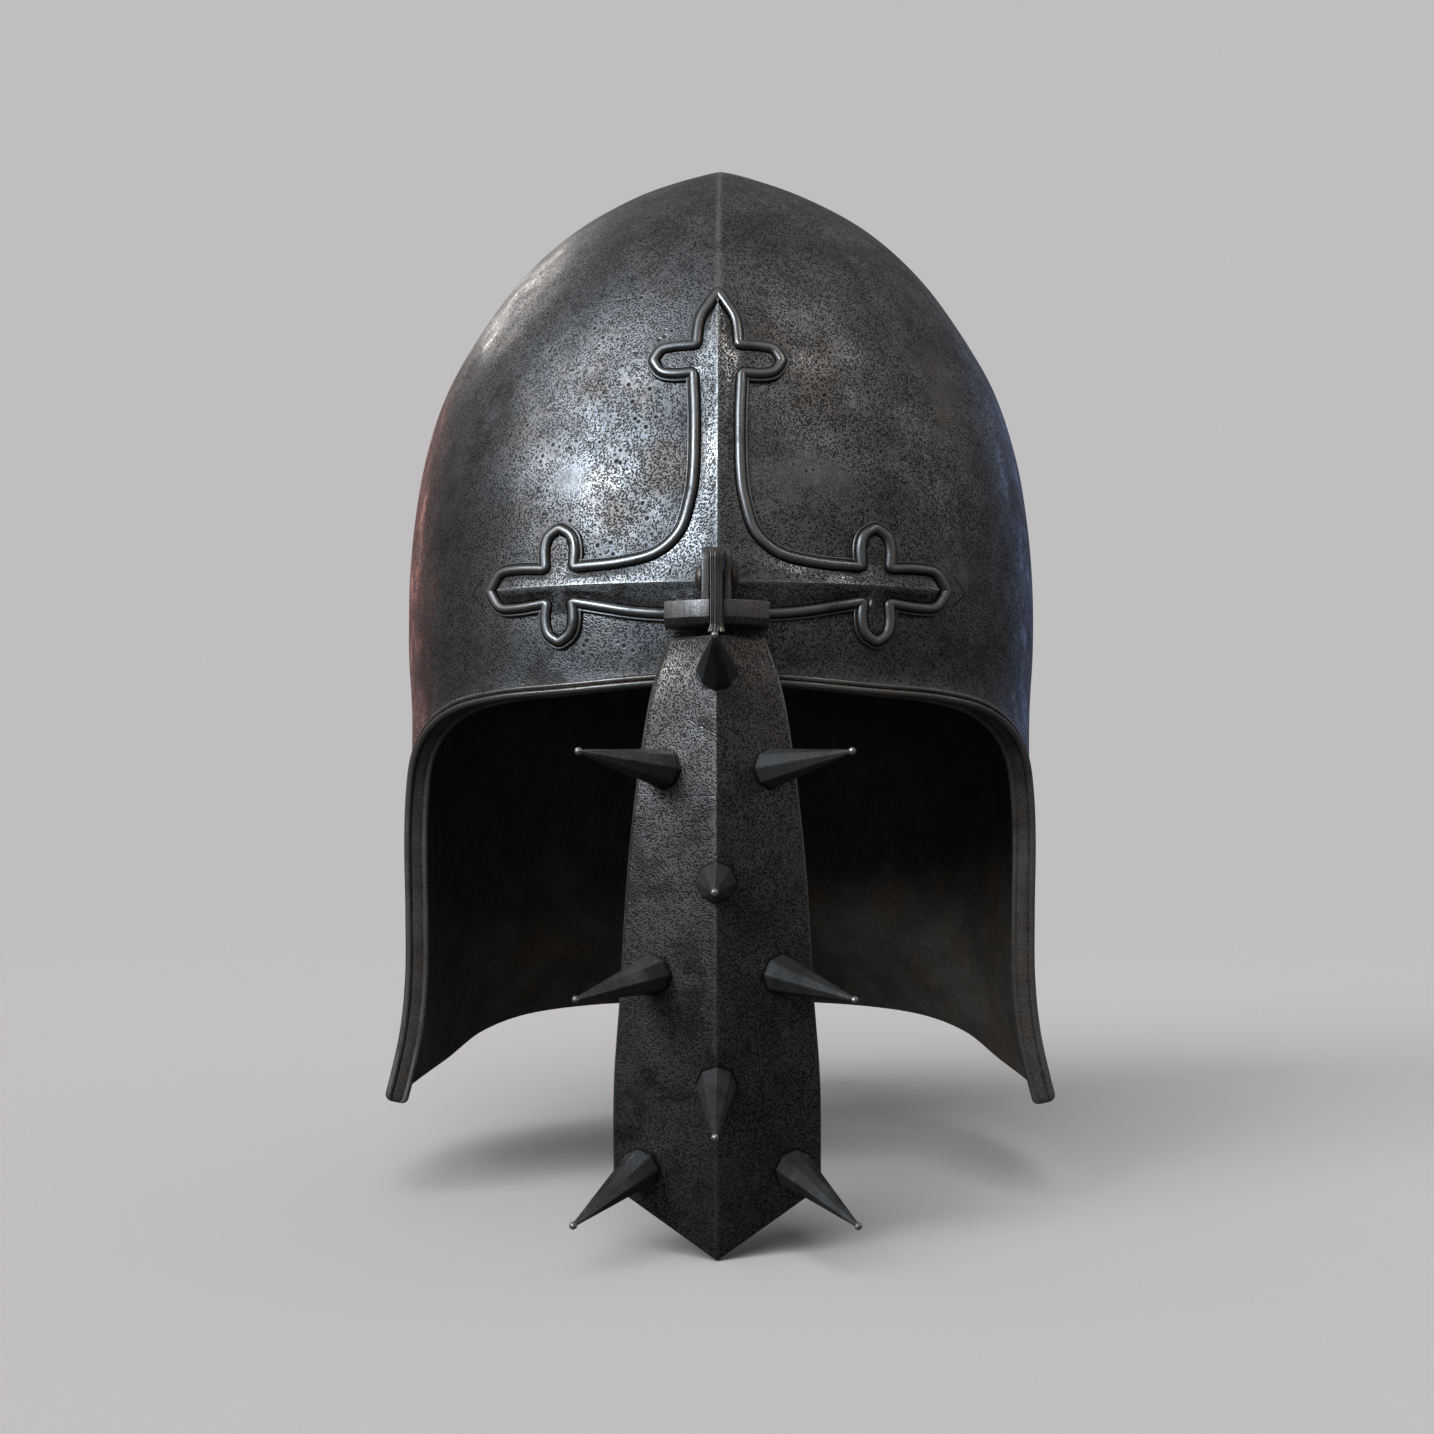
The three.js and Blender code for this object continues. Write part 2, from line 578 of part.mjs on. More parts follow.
// Cross whose facets rise from its edge to its ridges, laid over the bowl
function browCross() {
  const inset = CROSS_BEAD_HALF_WIDTH + PIECE_GAP;
  const loop = crossLoop();
  const points = [];
  const triangles = [];
  const count = loop.length;
  const layers = [[CROSS_EDGE_HEIGHT, CROSS_RIDGE_HEIGHT], [PIECE_GAP, PIECE_GAP]];
  for (const [edgeHeight, ridgeHeight] of layers) {
    const base = points.length;
    for (let step = 0; step <= CROSS_FACET_STEPS; step += 1) {
      const share = step / CROSS_FACET_STEPS;
      for (const place of loop) {
        const edgeX = place.x - place.away.x * inset;
        const edgeZ = place.z - place.away.y * inset;
        const climb = (ridgeHeight - edgeHeight) * place.rise * share;
        points.push(overBowl(
          edgeX + (place.ridgeX - edgeX) * share,
          edgeZ + (place.ridgeZ - edgeZ) * share,
          edgeHeight + climb));
      }
    }
    for (let step = 0; step < CROSS_FACET_STEPS; step += 1) {
      for (let i = 0; i < count; i += 1) {
        const faces = quad(base + step * count, base + (step + 1) * count, i, (i + 1) % count);
        triangles.push(...(base ? faces.map(([a, b, c]) => [a, c, b]) : faces));
      }
    }
  }
  const bottom = (CROSS_FACET_STEPS + 1) * count;
  for (let i = 0; i < count; i += 1) {
    triangles.push(...quad(0, bottom, i, (i + 1) % count).map(([a, b, c]) => [a, c, b]));
  }
  return closedMesh('brow_cross', points, triangles, SOOTED_STEEL);
}

function crossBorder() {
  const rings = crossLoop().map((place) => CROSS_BEAD_SECTION.map((row) => overBowl(
    place.x + place.away.x * row.away * CROSS_BEAD_HALF_WIDTH,
    place.z + place.away.y * row.away * CROSS_BEAD_HALF_WIDTH,
    PIECE_GAP + row.height * (CROSS_BEAD_HEIGHT - PIECE_GAP))));
  return sweep('cross_border', rings, true, RUBBED_STEEL);
}

// Manifold bodies for the pieces that are joined or cut
function toManifold(geometry) {
  const bare = geometry.clone();
  bare.deleteAttribute('normal');
  bare.deleteAttribute('uv');
  const welded = mergeVertices(bare, 1e-5);
  return new wasm.Manifold(new wasm.Mesh({
    numProp: 3,
    vertProperties: new Float32Array(welded.attributes.position.array),
    triVerts: new Uint32Array(welded.index.array),
  }));
}

function fromManifold(name, body, look) {
  const out = body.getMesh();
  const geometry = new THREE.BufferGeometry();
  geometry.setAttribute('position', new THREE.BufferAttribute(new Float32Array(out.vertProperties), 3));
  geometry.setIndex(new THREE.BufferAttribute(new Uint32Array(out.triVerts), 1));
  return meshOf(name, geometry, look);
}

// Plate cut from a side view of y and z, centred on the given x
function sidePlate(outline, thickness, x) {
  const shape = new THREE.Shape(outline.map(([y, z]) => new THREE.Vector2(y, z)));
  const plate = new THREE.ExtrudeGeometry(shape, { depth: thickness, bevelEnabled: false });
  const turn = new THREE.Matrix4().set(0, 0, 1, 0, 1, 0, 0, 0, 0, 1, 0, 0, 0, 0, 0, 1);
  plate.applyMatrix4(turn);
  plate.translate(x - thickness / 2, 0, 0);
  return plate;
}

const pinZ = crossArmZ - PIN_BELOW_ARM;
const seatY = bowlPoint(0, pinZ).y - CROSS_RIDGE_HEIGHT - PIECE_GAP;
const pinY = seatY - PIN_STANDOFF;

function pinRod(radius, halfLength) {
  const rod = new THREE.CylinderGeometry(radius, radius, 2 * halfLength, 20);
  rod.rotateZ(Math.PI / 2);
  rod.translate(0, pinY, pinZ);
  return rod;
}

const slotHalfWidth = TANG_THICKNESS / 2 + WORKING_GAP;
const earMiddleX = slotHalfWidth + EAR_THICKNESS / 2;
const earOuterX = slotHalfWidth + EAR_THICKNESS;
const shelfFrontY = pinY - SHELF_REACH;
const shelfCornerY = pinY - SHELF_CORNER_REACH;
const shelfTopZ = pinZ - SHELF_BELOW_PIN;
const shelfBottomZ = shelfTopZ - SHELF_THICKNESS;
const earTopZ = pinZ + EAR_ABOVE_PIN;
const earFrontY = pinY - EAR_REACH;
const slotBackY = pinY + TANG_NOSE_RADIUS + SLOT_ROOM;
const tangFrontY = pinY - TANG_REACH;
const nasalTopZ = pinZ - NASAL_BELOW_PIN;
const nasalPointZ = nasalTopZ - NASAL_LENGTH;
const nasalCornerZ = nasalPointZ + NASAL_POINT_HEIGHT;
const nasalRidgeY = tangFrontY - NASAL_AHEAD;
const nasalBulgeZ = nasalTopZ - NASAL_BULGE * NASAL_LENGTH;
const tangFootZ = nasalTopZ + 2 * PIECE_GAP;
const nasalWidths = NASAL_WIDTHS.map((row) => ({
  z: nasalTopZ - row.down * NASAL_LENGTH,
  halfWidth: row.halfWidth * NASAL_HALF_WIDTH,
}));

function nasalBracket() {
  const front = [];
  for (let i = 0; i <= SHELF_FRONT_STEPS; i += 1) {
    const share = -1 + 2 * i / SHELF_FRONT_STEPS;
    front.push([share * SHELF_HALF_WIDTH, shelfFrontY + (shelfCornerY - shelfFrontY) * share ** 2]);
  }
  const outline = [...front, [SHELF_HALF_WIDTH, seatY], [-SHELF_HALF_WIDTH, seatY]];
  const shelfShape = new THREE.Shape(outline.map(([x, y]) => new THREE.Vector2(x, y)));
  const bevelTopZ = shelfBottomZ + SHELF_BEVEL_HEIGHT;
  const shelf = new THREE.ExtrudeGeometry(shelfShape, { depth: shelfTopZ - bevelTopZ, bevelEnabled: false });
  shelf.translate(0, 0, bevelTopZ);
  const underside = new THREE.ExtrudeGeometry(shelfShape, { depth: SHELF_BEVEL_HEIGHT, bevelEnabled: false });
  underside.translate(0, 0, shelfBottomZ);
  const places = underside.attributes.position;
  for (let i = 0; i < places.count; i += 1) {
    const low = places.getZ(i) < shelfBottomZ + SHELF_BEVEL_HEIGHT / 2;
    if (low && places.getY(i) < (shelfCornerY + seatY) / 2) {
      places.setY(i, places.getY(i) + SHELF_BEVEL_DEPTH);
    }
  }
  const earLow = bevelTopZ + WORKING_GAP;
  const earOutline = [
    [seatY, earLow],
    [earFrontY, earLow],
    [earFrontY, earTopZ - EAR_CORNER_HEIGHT],
    [earFrontY + EAR_CORNER_DEPTH, earTopZ],
    [seatY, earTopZ],
  ];
  const slotOutline = [
    [slotBackY, shelfBottomZ - 1],
    [shelfFrontY - 1, shelfBottomZ - 1],
    [shelfFrontY - 1, earTopZ + 1],
    [slotBackY, earTopZ + 1],
  ];
  const body = toManifold(shelf)
    .add(toManifold(underside))
    .add(toManifold(sidePlate(earOutline, EAR_THICKNESS, earMiddleX)))
    .add(toManifold(sidePlate(earOutline, EAR_THICKNESS, -earMiddleX)))
    .subtract(toManifold(sidePlate(slotOutline, 2 * slotHalfWidth, 0)))
    .subtract(toManifold(pinRod(PIN_RADIUS + WORKING_GAP, earOuterX + 1)));
  return fromManifold('nasal_bracket', body, SOOTED_STEEL);
}

function hingePin() {
  const shank = earOuterX + WORKING_GAP;
  const headEnd = shank + PIN_HEAD_LENGTH;
  const profile = [
    [0, headEnd],
    [PIN_HEAD_RADIUS * 0.6, headEnd - PIN_HEAD_LENGTH * 0.2],
    [PIN_HEAD_RADIUS * 0.92, headEnd - PIN_HEAD_LENGTH * 0.55],
    [PIN_HEAD_RADIUS, shank],
    [PIN_RADIUS, shank],
  ];
  const whole = [...profile, ...profile.slice().reverse().map(([r, x]) => [r, -x])];
  const lathe = new THREE.LatheGeometry(whole.map(([r, x]) => new THREE.Vector2(r, x)), 20);
  lathe.rotateZ(Math.PI / 2);
  lathe.translate(0, pinY, pinZ);
  const bare = new THREE.BufferGeometry();
  bare.setAttribute('position', lathe.attributes.position);
  bare.setIndex(lathe.index);
  const place = bare.attributes.position;
  const points = [];
  for (let i = 0; i < place.count; i += 1) {
    points.push(new THREE.Vector3().fromBufferAttribute(place, i));
  }
  const triangles = [];
  for (let i = 0; i < bare.index.count; i += 3) {
    triangles.push([bare.index.getX(i), bare.index.getX(i + 1), bare.index.getX(i + 2)]);
  }
  return closedMesh('hinge_pin', points, triangles, RUBBED_STEEL);
}

function nasalTang() {
  const nose = [];
  for (let i = 0; i <= TANG_NOSE_STEPS; i += 1) {
    const angle = (90 - 130 * i / TANG_NOSE_STEPS) * DEGREE;
    nose.push([pinY + TANG_NOSE_RADIUS * Math.cos(angle), pinZ + TANG_NOSE_RADIUS * Math.sin(angle)]);
  }
  const outline = [
    [tangFrontY, tangFootZ],
    [tangFrontY, pinZ + TANG_NOSE_RADIUS - TANG_CORNER],
    [tangFrontY + TANG_CORNER, pinZ + TANG_NOSE_RADIUS],
    ...nose,
    [tangFrontY + TANG_LOW_DEPTH, tangFootZ + TANG_CORNER],
    [tangFrontY + TANG_LOW_DEPTH, tangFootZ],
  ];
  const footTop = tangFootZ + TANG_FOOT_HEIGHT;
  const foot = [
    [tangFrontY - TANG_FOOT_FLARE, tangFootZ],
    [tangFrontY - TANG_FOOT_FLARE, footTop],
    [tangFrontY + TANG_FOOT_DEPTH, footTop],
    [tangFrontY + TANG_FOOT_DEPTH, tangFootZ],
  ];
  const body = toManifold(sidePlate(outline, TANG_THICKNESS, 0))
    .add(toManifold(sidePlate(foot, TANG_THICKNESS + 2 * TANG_FOOT_FLARE, 0)))
    .subtract(toManifold(pinRod(PIN_RADIUS + WORKING_GAP, TANG_THICKNESS)));
  return fromManifold('nasal_tang', body, RUBBED_STEEL);
}

// Front face of the nasal plate, two flanks that meet at the ridge
function nasalSlope(z) {
  return NASAL_FOLD_DEPTH / tableAt(nasalWidths, 'halfWidth', z);
}

function nasalFront(x, z) {
  return nasalRidgeY + (z - nasalBulgeZ) ** 2 / (2 * NASAL_RIDGE_RADIUS) + Math.abs(x) * nasalSlope(z);
}

function nasalPlate() {
  const columns = 2 * NASAL_HALF_COLUMNS + 1;
  const topZ = nasalTopZ;
  const points = [];
  const triangles = [];
  for (const layer of [0, 1]) {
    for (let row = 0; row <= NASAL_ROWS; row += 1) {
      for (let column = 0; column < columns; column += 1) {
        const share = column / NASAL_HALF_COLUMNS - 1;
        const endZ = nasalPointZ + Math.abs(share) * (nasalCornerZ - nasalPointZ);
        const z = topZ + (endZ - topZ) * row / NASAL_ROWS;
        const x = share * tableAt(nasalWidths, 'halfWidth', z);
        const through = NASAL_SHEET * Math.hypot(1, nasalSlope(z));
        points.push(new THREE.Vector3(x, nasalFront(x, z) + layer * through, z));
      }
    }
  }
  const layerSize = (NASAL_ROWS + 1) * columns;
  for (let row = 0; row < NASAL_ROWS; row += 1) {
    for (let column = 0; column < columns - 1; column += 1) {
      const here = row * columns;
      quad(here, here + columns, column, column + 1).forEach(([a, b, c]) => {
        triangles.push([a, b, c], [layerSize + a, layerSize + c, layerSize + b]);
      });
    }
  }
  const around = [];
  for (let column = 0; column < columns - 1; column += 1) {
    around.push(column);
  }
  for (let row = 0; row < NASAL_ROWS; row += 1) {
    around.push(row * columns + columns - 1);
  }
  for (let column = columns - 1; column > 0; column -= 1) {
    around.push(NASAL_ROWS * columns + column);
  }
  for (let row = NASAL_ROWS; row > 0; row -= 1) {
    around.push(row * columns);
  }
  around.forEach((a, k) => {
    const b = around[(k + 1) % around.length];
    triangles.push([b, a, layerSize + a], [b, layerSize + a, layerSize + b]);
  });
  return closedMesh('nasal_plate', points, triangles, SOOTED_STEEL);
}

// Eight-sided spike with a small ball on its tip; its foot follows the plate
function spike({ name, across, down, aside, up }) {
  const z = nasalTopZ - down * NASAL_LENGTH;
  const x = across * tableAt(nasalWidths, 'halfWidth', z);
  const ahead = new THREE.Vector3(
    Math.sin(aside * DEGREE) * Math.cos(up * DEGREE),
    -Math.cos(aside * DEGREE) * Math.cos(up * DEGREE),
    Math.sin(up * DEGREE));
  const sideways = new THREE.Vector3(0, 0, 1).cross(ahead).normalize();
  const upward = ahead.clone().cross(sideways);
  const foot = new THREE.Vector3(x, nasalFront(x, z) - PIECE_GAP, z);
  const ringAt = (radius, distance) => {
    const ring = [];
    for (let i = 0; i < SPIKE_FACETS; i += 1) {
      const angle = (90 + 360 * i / SPIKE_FACETS) * DEGREE;
      ring.push(foot.clone()
        .addScaledVector(sideways, radius * Math.cos(angle))
        .addScaledVector(upward, radius * Math.sin(angle))
        .addScaledVector(ahead, distance));
    }
    return ring;
  };
  const seated = (point) => {
    for (let step = 0; step < 12; step += 1) {
      const miss = nasalFront(point.x, point.z) - PIECE_GAP - point.y;
      point.addScaledVector(ahead, miss / ahead.y);
    }
    return point;
  };
  const neck = SPIKE_LENGTH - 2 * SPIKE_BALL_RADIUS;
  const rings = [
    ringAt(SPIKE_RADIUS, 0).map(seated),
    ringAt(SPIKE_NECK_RADIUS, neck),
    ringAt(SPIKE_BALL_RADIUS, neck + 0.6 * SPIKE_BALL_RADIUS),
    ringAt(SPIKE_BALL_RADIUS, neck + 1.4 * SPIKE_BALL_RADIUS),
  ];
  const points = [...rings.flat(), seated(foot.clone()), foot.clone().addScaledVector(ahead, SPIKE_LENGTH)];
  const middle = points.length - 2;
  const tip = points.length - 1;
  const lastRing = (rings.length - 1) * SPIKE_FACETS;
  const triangles = [];
  for (let i = 0; i < SPIKE_FACETS; i += 1) {
    const j = (i + 1) % SPIKE_FACETS;
    triangles.push([middle, j, i], [tip, lastRing + i, lastRing + j]);
    for (let ring = 0; ring < rings.length - 1; ring += 1) {
      triangles.push(...quad(ring * SPIKE_FACETS, (ring + 1) * SPIKE_FACETS, i, j));
    }
  }
  return closedMesh(name, points, triangles, BLUED_STEEL);
}

const group = new THREE.Group();
group.name = 'barbute';
group.add(
  skull(),
  faceRim(),
  browCross(),
  crossBorder(),
  nasalBracket(),
  hingePin(),
  nasalTang(),
  nasalPlate(),
  ...SPIKES.map(spike),
);

export default group;
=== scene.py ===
import math

import bmesh
import bpy
import numpy as np
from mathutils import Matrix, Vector


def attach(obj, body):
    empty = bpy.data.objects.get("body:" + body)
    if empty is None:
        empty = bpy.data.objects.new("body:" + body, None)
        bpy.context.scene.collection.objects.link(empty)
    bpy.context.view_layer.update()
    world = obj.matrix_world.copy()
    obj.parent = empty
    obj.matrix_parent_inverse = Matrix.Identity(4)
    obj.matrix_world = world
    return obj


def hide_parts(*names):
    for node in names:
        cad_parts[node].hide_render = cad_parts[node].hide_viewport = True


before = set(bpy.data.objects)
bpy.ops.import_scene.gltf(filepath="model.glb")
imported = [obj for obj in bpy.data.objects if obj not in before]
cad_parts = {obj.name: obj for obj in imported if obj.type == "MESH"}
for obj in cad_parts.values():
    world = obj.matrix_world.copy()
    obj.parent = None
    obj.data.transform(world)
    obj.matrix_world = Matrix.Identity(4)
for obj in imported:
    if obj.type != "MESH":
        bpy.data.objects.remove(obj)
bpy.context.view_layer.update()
scene = bpy.context.scene
scene.view_settings.view_transform = "Standard"

# Camera at the wearer's eye level, 795 mm ahead of the head hollow and half a degree to one
# side, tilted up by three degrees.
CAMERA_DISTANCE, CAMERA_LENS, SENSOR_WIDTH = 0.795, 55.23, 36
CAMERA_SIDE, CAMERA_TILT, HEADING_SHIFT = math.radians(0.5), math.radians(3), 0.00182
camera = bpy.data.objects.new("camera", bpy.data.cameras.new("camera"))
scene.collection.objects.link(camera)
scene.camera = camera
camera.data.sensor_width = SENSOR_WIDTH
camera.data.lens = CAMERA_LENS
camera.data.clip_start = 0.01
camera.location = (CAMERA_DISTANCE * math.sin(CAMERA_SIDE), -CAMERA_DISTANCE * math.cos(CAMERA_SIDE), 0)
heading, level = -CAMERA_SIDE - HEADING_SHIFT, math.cos(CAMERA_TILT)
forward = Vector((math.sin(heading) * level, math.cos(heading) * level, math.sin(CAMERA_TILT)))
camera.rotation_euler = forward.to_track_quat("-Z", "Y").to_euler()


# Skull: bowl, cheeks and neck guard, raised from one sheet of steel 2 mm thick, hammered from
# inside and out, blackened in the fire and oiled. A soft keel runs from the brow over the top.
SHEET = 2
# Level rings in mm: z, half width, y of the widest place, y of the keel in front and behind,
# squareness, keel
RINGS = np.array([
    (244, 0, 18, 18, 18, 2.0, 0.16),
    (239.5, 14, 18, -6, 40, 2.0, 0.14),
    (233.5, 27.5, 18, -27, 60, 2.0, 0.11),
    (226, 43.5, 17, -46, 78, 2.0, 0.08),
    (213.5, 60, 16, -68, 97, 2.05, 0.05),
    (197, 75.5, 15, -87, 113, 2.1, 0.03),
    (177, 88.8, 14, -102, 126, 2.15, 0.02),
    (156, 100, 14, -112, 136, 2.2, 0.015),
    (133, 107.2, 14, -120, 143, 2.2, 0.012),
    (110, 110.7, 14, -126, 147.5, 2.25, 0.012),
    (87, 112.4, 14, -129.5, 150, 2.25, 0.012),
    (64, 112.2, 14, -131, 150.5, 2.3, 0.012),
    (41, 110.6, 15, -130.5, 148, 2.4, 0.012),
    (18, 109.2, 16, -128, 142, 2.85, 0.012),
    (-5, 108.4, 18, -124, 134.5, 3.15, 0.012),
    (-28, 108.2, 20, -121, 128.5, 3.15, 0.012),
    (-48, 109.2, 22, -119, 131, 3.0, 0.012),
    (-66, 111.5, 24, -119, 146, 2.9, 0.012),
    (-82, 115, 26, -120, 160, 2.9, 0.012),
    (-96, 119, 28, -121, 172, 2.9, 0.012),
], float)
# Cut edge of the sheet, bearing in degrees and z: round the face from the middle of the brow
# to the cheek corner, then on to the middle of the nape
FACE_EDGE = [(0, 49), (8, 48), (19, 46), (29, 44.8), (38, 42), (45.5, 36), (51, 26.5), (54, 10),
             (54.6, -20), (55, -50), (55.8, -88.2)]
NECK_EDGE = [(55.8, -88.2), (58.5, -90.3), (75, -92.2), (98, -94), (119, -90), (131, -80.5), (141, -75),
             (152, -72.2), (166, -70.6), (180, -69.8)]


def cubic(u, here, leave, there, arrive):
    """Cubic from here to there, u from 0 to 1, with the slopes leave and arrive at its ends."""
    return ((2 * u**3 - 3 * u**2 + 1) * here + (u**3 - 2 * u**2 + u) * leave
            + (3 * u**2 - 2 * u**3) * there + (u**3 - u**2) * arrive)


def table_at(table, z):
    """Columns of a table at heights z: on each stretch a cubic whose slope at a row is that of
    the straight line between the rows on either side of it."""
    levels, values = table[::-1, 0], table[::-1, 1:]
    steps = np.diff(values, axis=0) / np.diff(levels)[:, None]
    slopes = (values[2:] - values[:-2]) / (levels[2:] - levels[:-2])[:, None]
    slopes = np.vstack([steps[:1], slopes, steps[-1:]])
    z = np.clip(z, levels[0], levels[-1])
    i = np.clip(np.searchsorted(levels, z, side="right") - 1, 0, len(levels) - 2)
    span = (levels[i + 1] - levels[i])[..., None]
    u = ((z - levels[i]) / span[..., 0])[..., None]
    return cubic(u, values[i], span * slopes[i], values[i + 1], span * slopes[i + 1])


def bowl(bearing, z):
    """Outer face of the bowl. A ring is a superellipse about the widest place, with its own
    reach in front and behind, drawn in a little between the keel and the flank."""
    bearing, z = np.broadcast_arrays(np.asarray(bearing, float), np.asarray(z, float))
    width, middle, front, back, power, keel = np.moveaxis(table_at(RINGS, z), -1, 0)
    across, along = np.abs(np.sin(bearing)), np.cos(bearing)
    reach = np.maximum(np.where(along > 0, middle - front, back - middle), 1e-6)
    total = (across / np.maximum(width, 1e-6)) ** power + (np.abs(along) / reach) ** power
    radius = total ** (-1 / power) * (1 - 4 * keel * across * (1 - across))
    return np.stack([radius * np.sin(bearing), middle - radius * along, z], -1)


def unit(ways):
    """Each way divided by its length."""
    return ways / np.linalg.norm(ways, axis=-1, keepdims=True)


def bowl_normal(bearing, z):
    """Outward normal of the bowl: the cross product of a small step sideways and one upward."""
    top = np.minimum(z + 0.5, RINGS[0, 0] - 0.5)
    turn = math.radians(0.5)
    sideways = bowl(bearing + turn, top - 0.5) - bowl(bearing - turn, top - 0.5)
    return unit(np.cross(sideways, bowl(bearing, top) - bowl(bearing, top - 1)))


def smooth_line(points, steps, closed=False, corners=()):
    """Line through points: between two of them a cubic whose end slopes follow the neighbours,
    weighed by the roots of the distances. It may turn sharply at the corners."""
    points = np.asarray(points, float)
    count = len(points)
    start = np.arange(count if closed else count - 1)
    before, after = points[(start - 1) % count], points[(start + 2) % count]
    here, there = points[start], points[(start + 1) % count]
    sharp = np.zeros(count, bool)
    sharp[list(corners)] = True
    if not closed:
        sharp[[0, -1]] = True
    before = np.where(sharp[start][:, None], 2 * here - there, before)
    after = np.where(sharp[(start + 1) % count][:, None], 2 * there - here, after)
    gaps = [np.sqrt(np.maximum(np.linalg.norm(b - a, axis=1, keepdims=True), 1e-9))
            for a, b in ((before, here), (here, there), (there, after))]
    leave = ((here - before) / gaps[0] - (there - before) / (gaps[0] + gaps[1])
             + (there - here) / gaps[1]) * gaps[1]
    arrive = ((there - here) / gaps[1] - (after - here) / (gaps[1] + gaps[2])
              + (after - there) / gaps[2]) * gaps[1]
    u = (np.arange(steps) / steps)[None, :, None]
    line = cubic(u, here[:, None], leave[:, None], there[:, None], arrive[:, None])
    line = line.reshape(-1, points.shape[1])
    return line if closed else np.vstack([line, points[-1]])


def edge_stations(table, count):
    """Bearing, z and distance of places at even distances along an edge table."""
    line = smooth_line(table, 80)
    line[:, 0] = np.radians(line[:, 0])
    steps = np.linalg.norm(np.diff(bowl(line[:, 0], line[:, 1]), axis=0), axis=1)
    length = np.concatenate([[0], np.cumsum(steps)])
    wanted = np.linspace(0, length[-1], count + 1)
    return np.stack([np.interp(wanted, length, c) for c in (line[:, 0], line[:, 1], length)], -1)


def grid_faces(rows, columns, around=False):
    """Quads of a grid of rows by columns, whose last column may join the first."""
    index = np.arange(rows * columns).reshape(rows, columns)
    if around:
        index = np.hstack([index, index[:, :1]])
    return np.stack([index[:-1, :-1], index[1:, :-1], index[1:, 1:], index[:-1, 1:]], -1).reshape(-1, 4)


def new_body(name, points, faces, finishes=(), worn=None, inside=None):
    """A body from points in mm, with its doubles merged and its faces outward."""
    mesh = bpy.data.meshes.new(name)
    mesh.from_pydata((np.asarray(points) * 0.001).tolist(), [], [list(map(int, f)) for f in faces])
    if worn is not None:
        wear = mesh.attributes.new("worn", "FLOAT", "POINT")
        wear.data.foreach_set("value", np.asarray(worn, np.float32))
    for finish in finishes:
        mesh.materials.append(finish)
    if inside is not None:
        mesh.polygons.foreach_set("material_index", np.asarray(inside, np.int32))
    work = bmesh.new()
    work.from_mesh(mesh)
    bmesh.ops.remove_doubles(work, verts=work.verts, dist=2e-6)
    bmesh.ops.dissolve_degenerate(work, edges=work.edges, dist=1e-6)
    bmesh.ops.recalc_face_normals(work, faces=work.faces)
    work.to_mesh(mesh)
    work.free()
    body = bpy.data.objects.new(name, mesh)
    scene.collection.objects.link(body)
    return body


def make_piece(name, points, faces, finishes, body, node, crease, worn=None, inside=None):
    """One piece that stands for its CAD node. Edges that turn by more than the crease are sharp."""
    piece = new_body(name, points, faces, finishes, worn, inside)
    piece.data.shade_smooth()
    piece.data.set_sharp_from_angle(angle=math.radians(crease))
    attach(piece, body)
    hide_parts(node)


class Value:
    """An output of a shader node. Sums, differences and products of values add Math nodes."""

    def __init__(self, finish, socket):
        self.finish, self.socket = finish, socket

    def math(self, operation, *values):
        return self.finish.node("Math", {"operation": operation}, dict(enumerate(values or [self])))

    def __add__(self, other):
        return self.math("ADD", self, other)

    def __sub__(self, other):
        return self.math("SUBTRACT", self, other)

    def __rsub__(self, other):
        return self.math("SUBTRACT", other, self)

    def __mul__(self, other):
        return self.math("MULTIPLY", self, other)

    __radd__ = __add__
    __rmul__ = __mul__


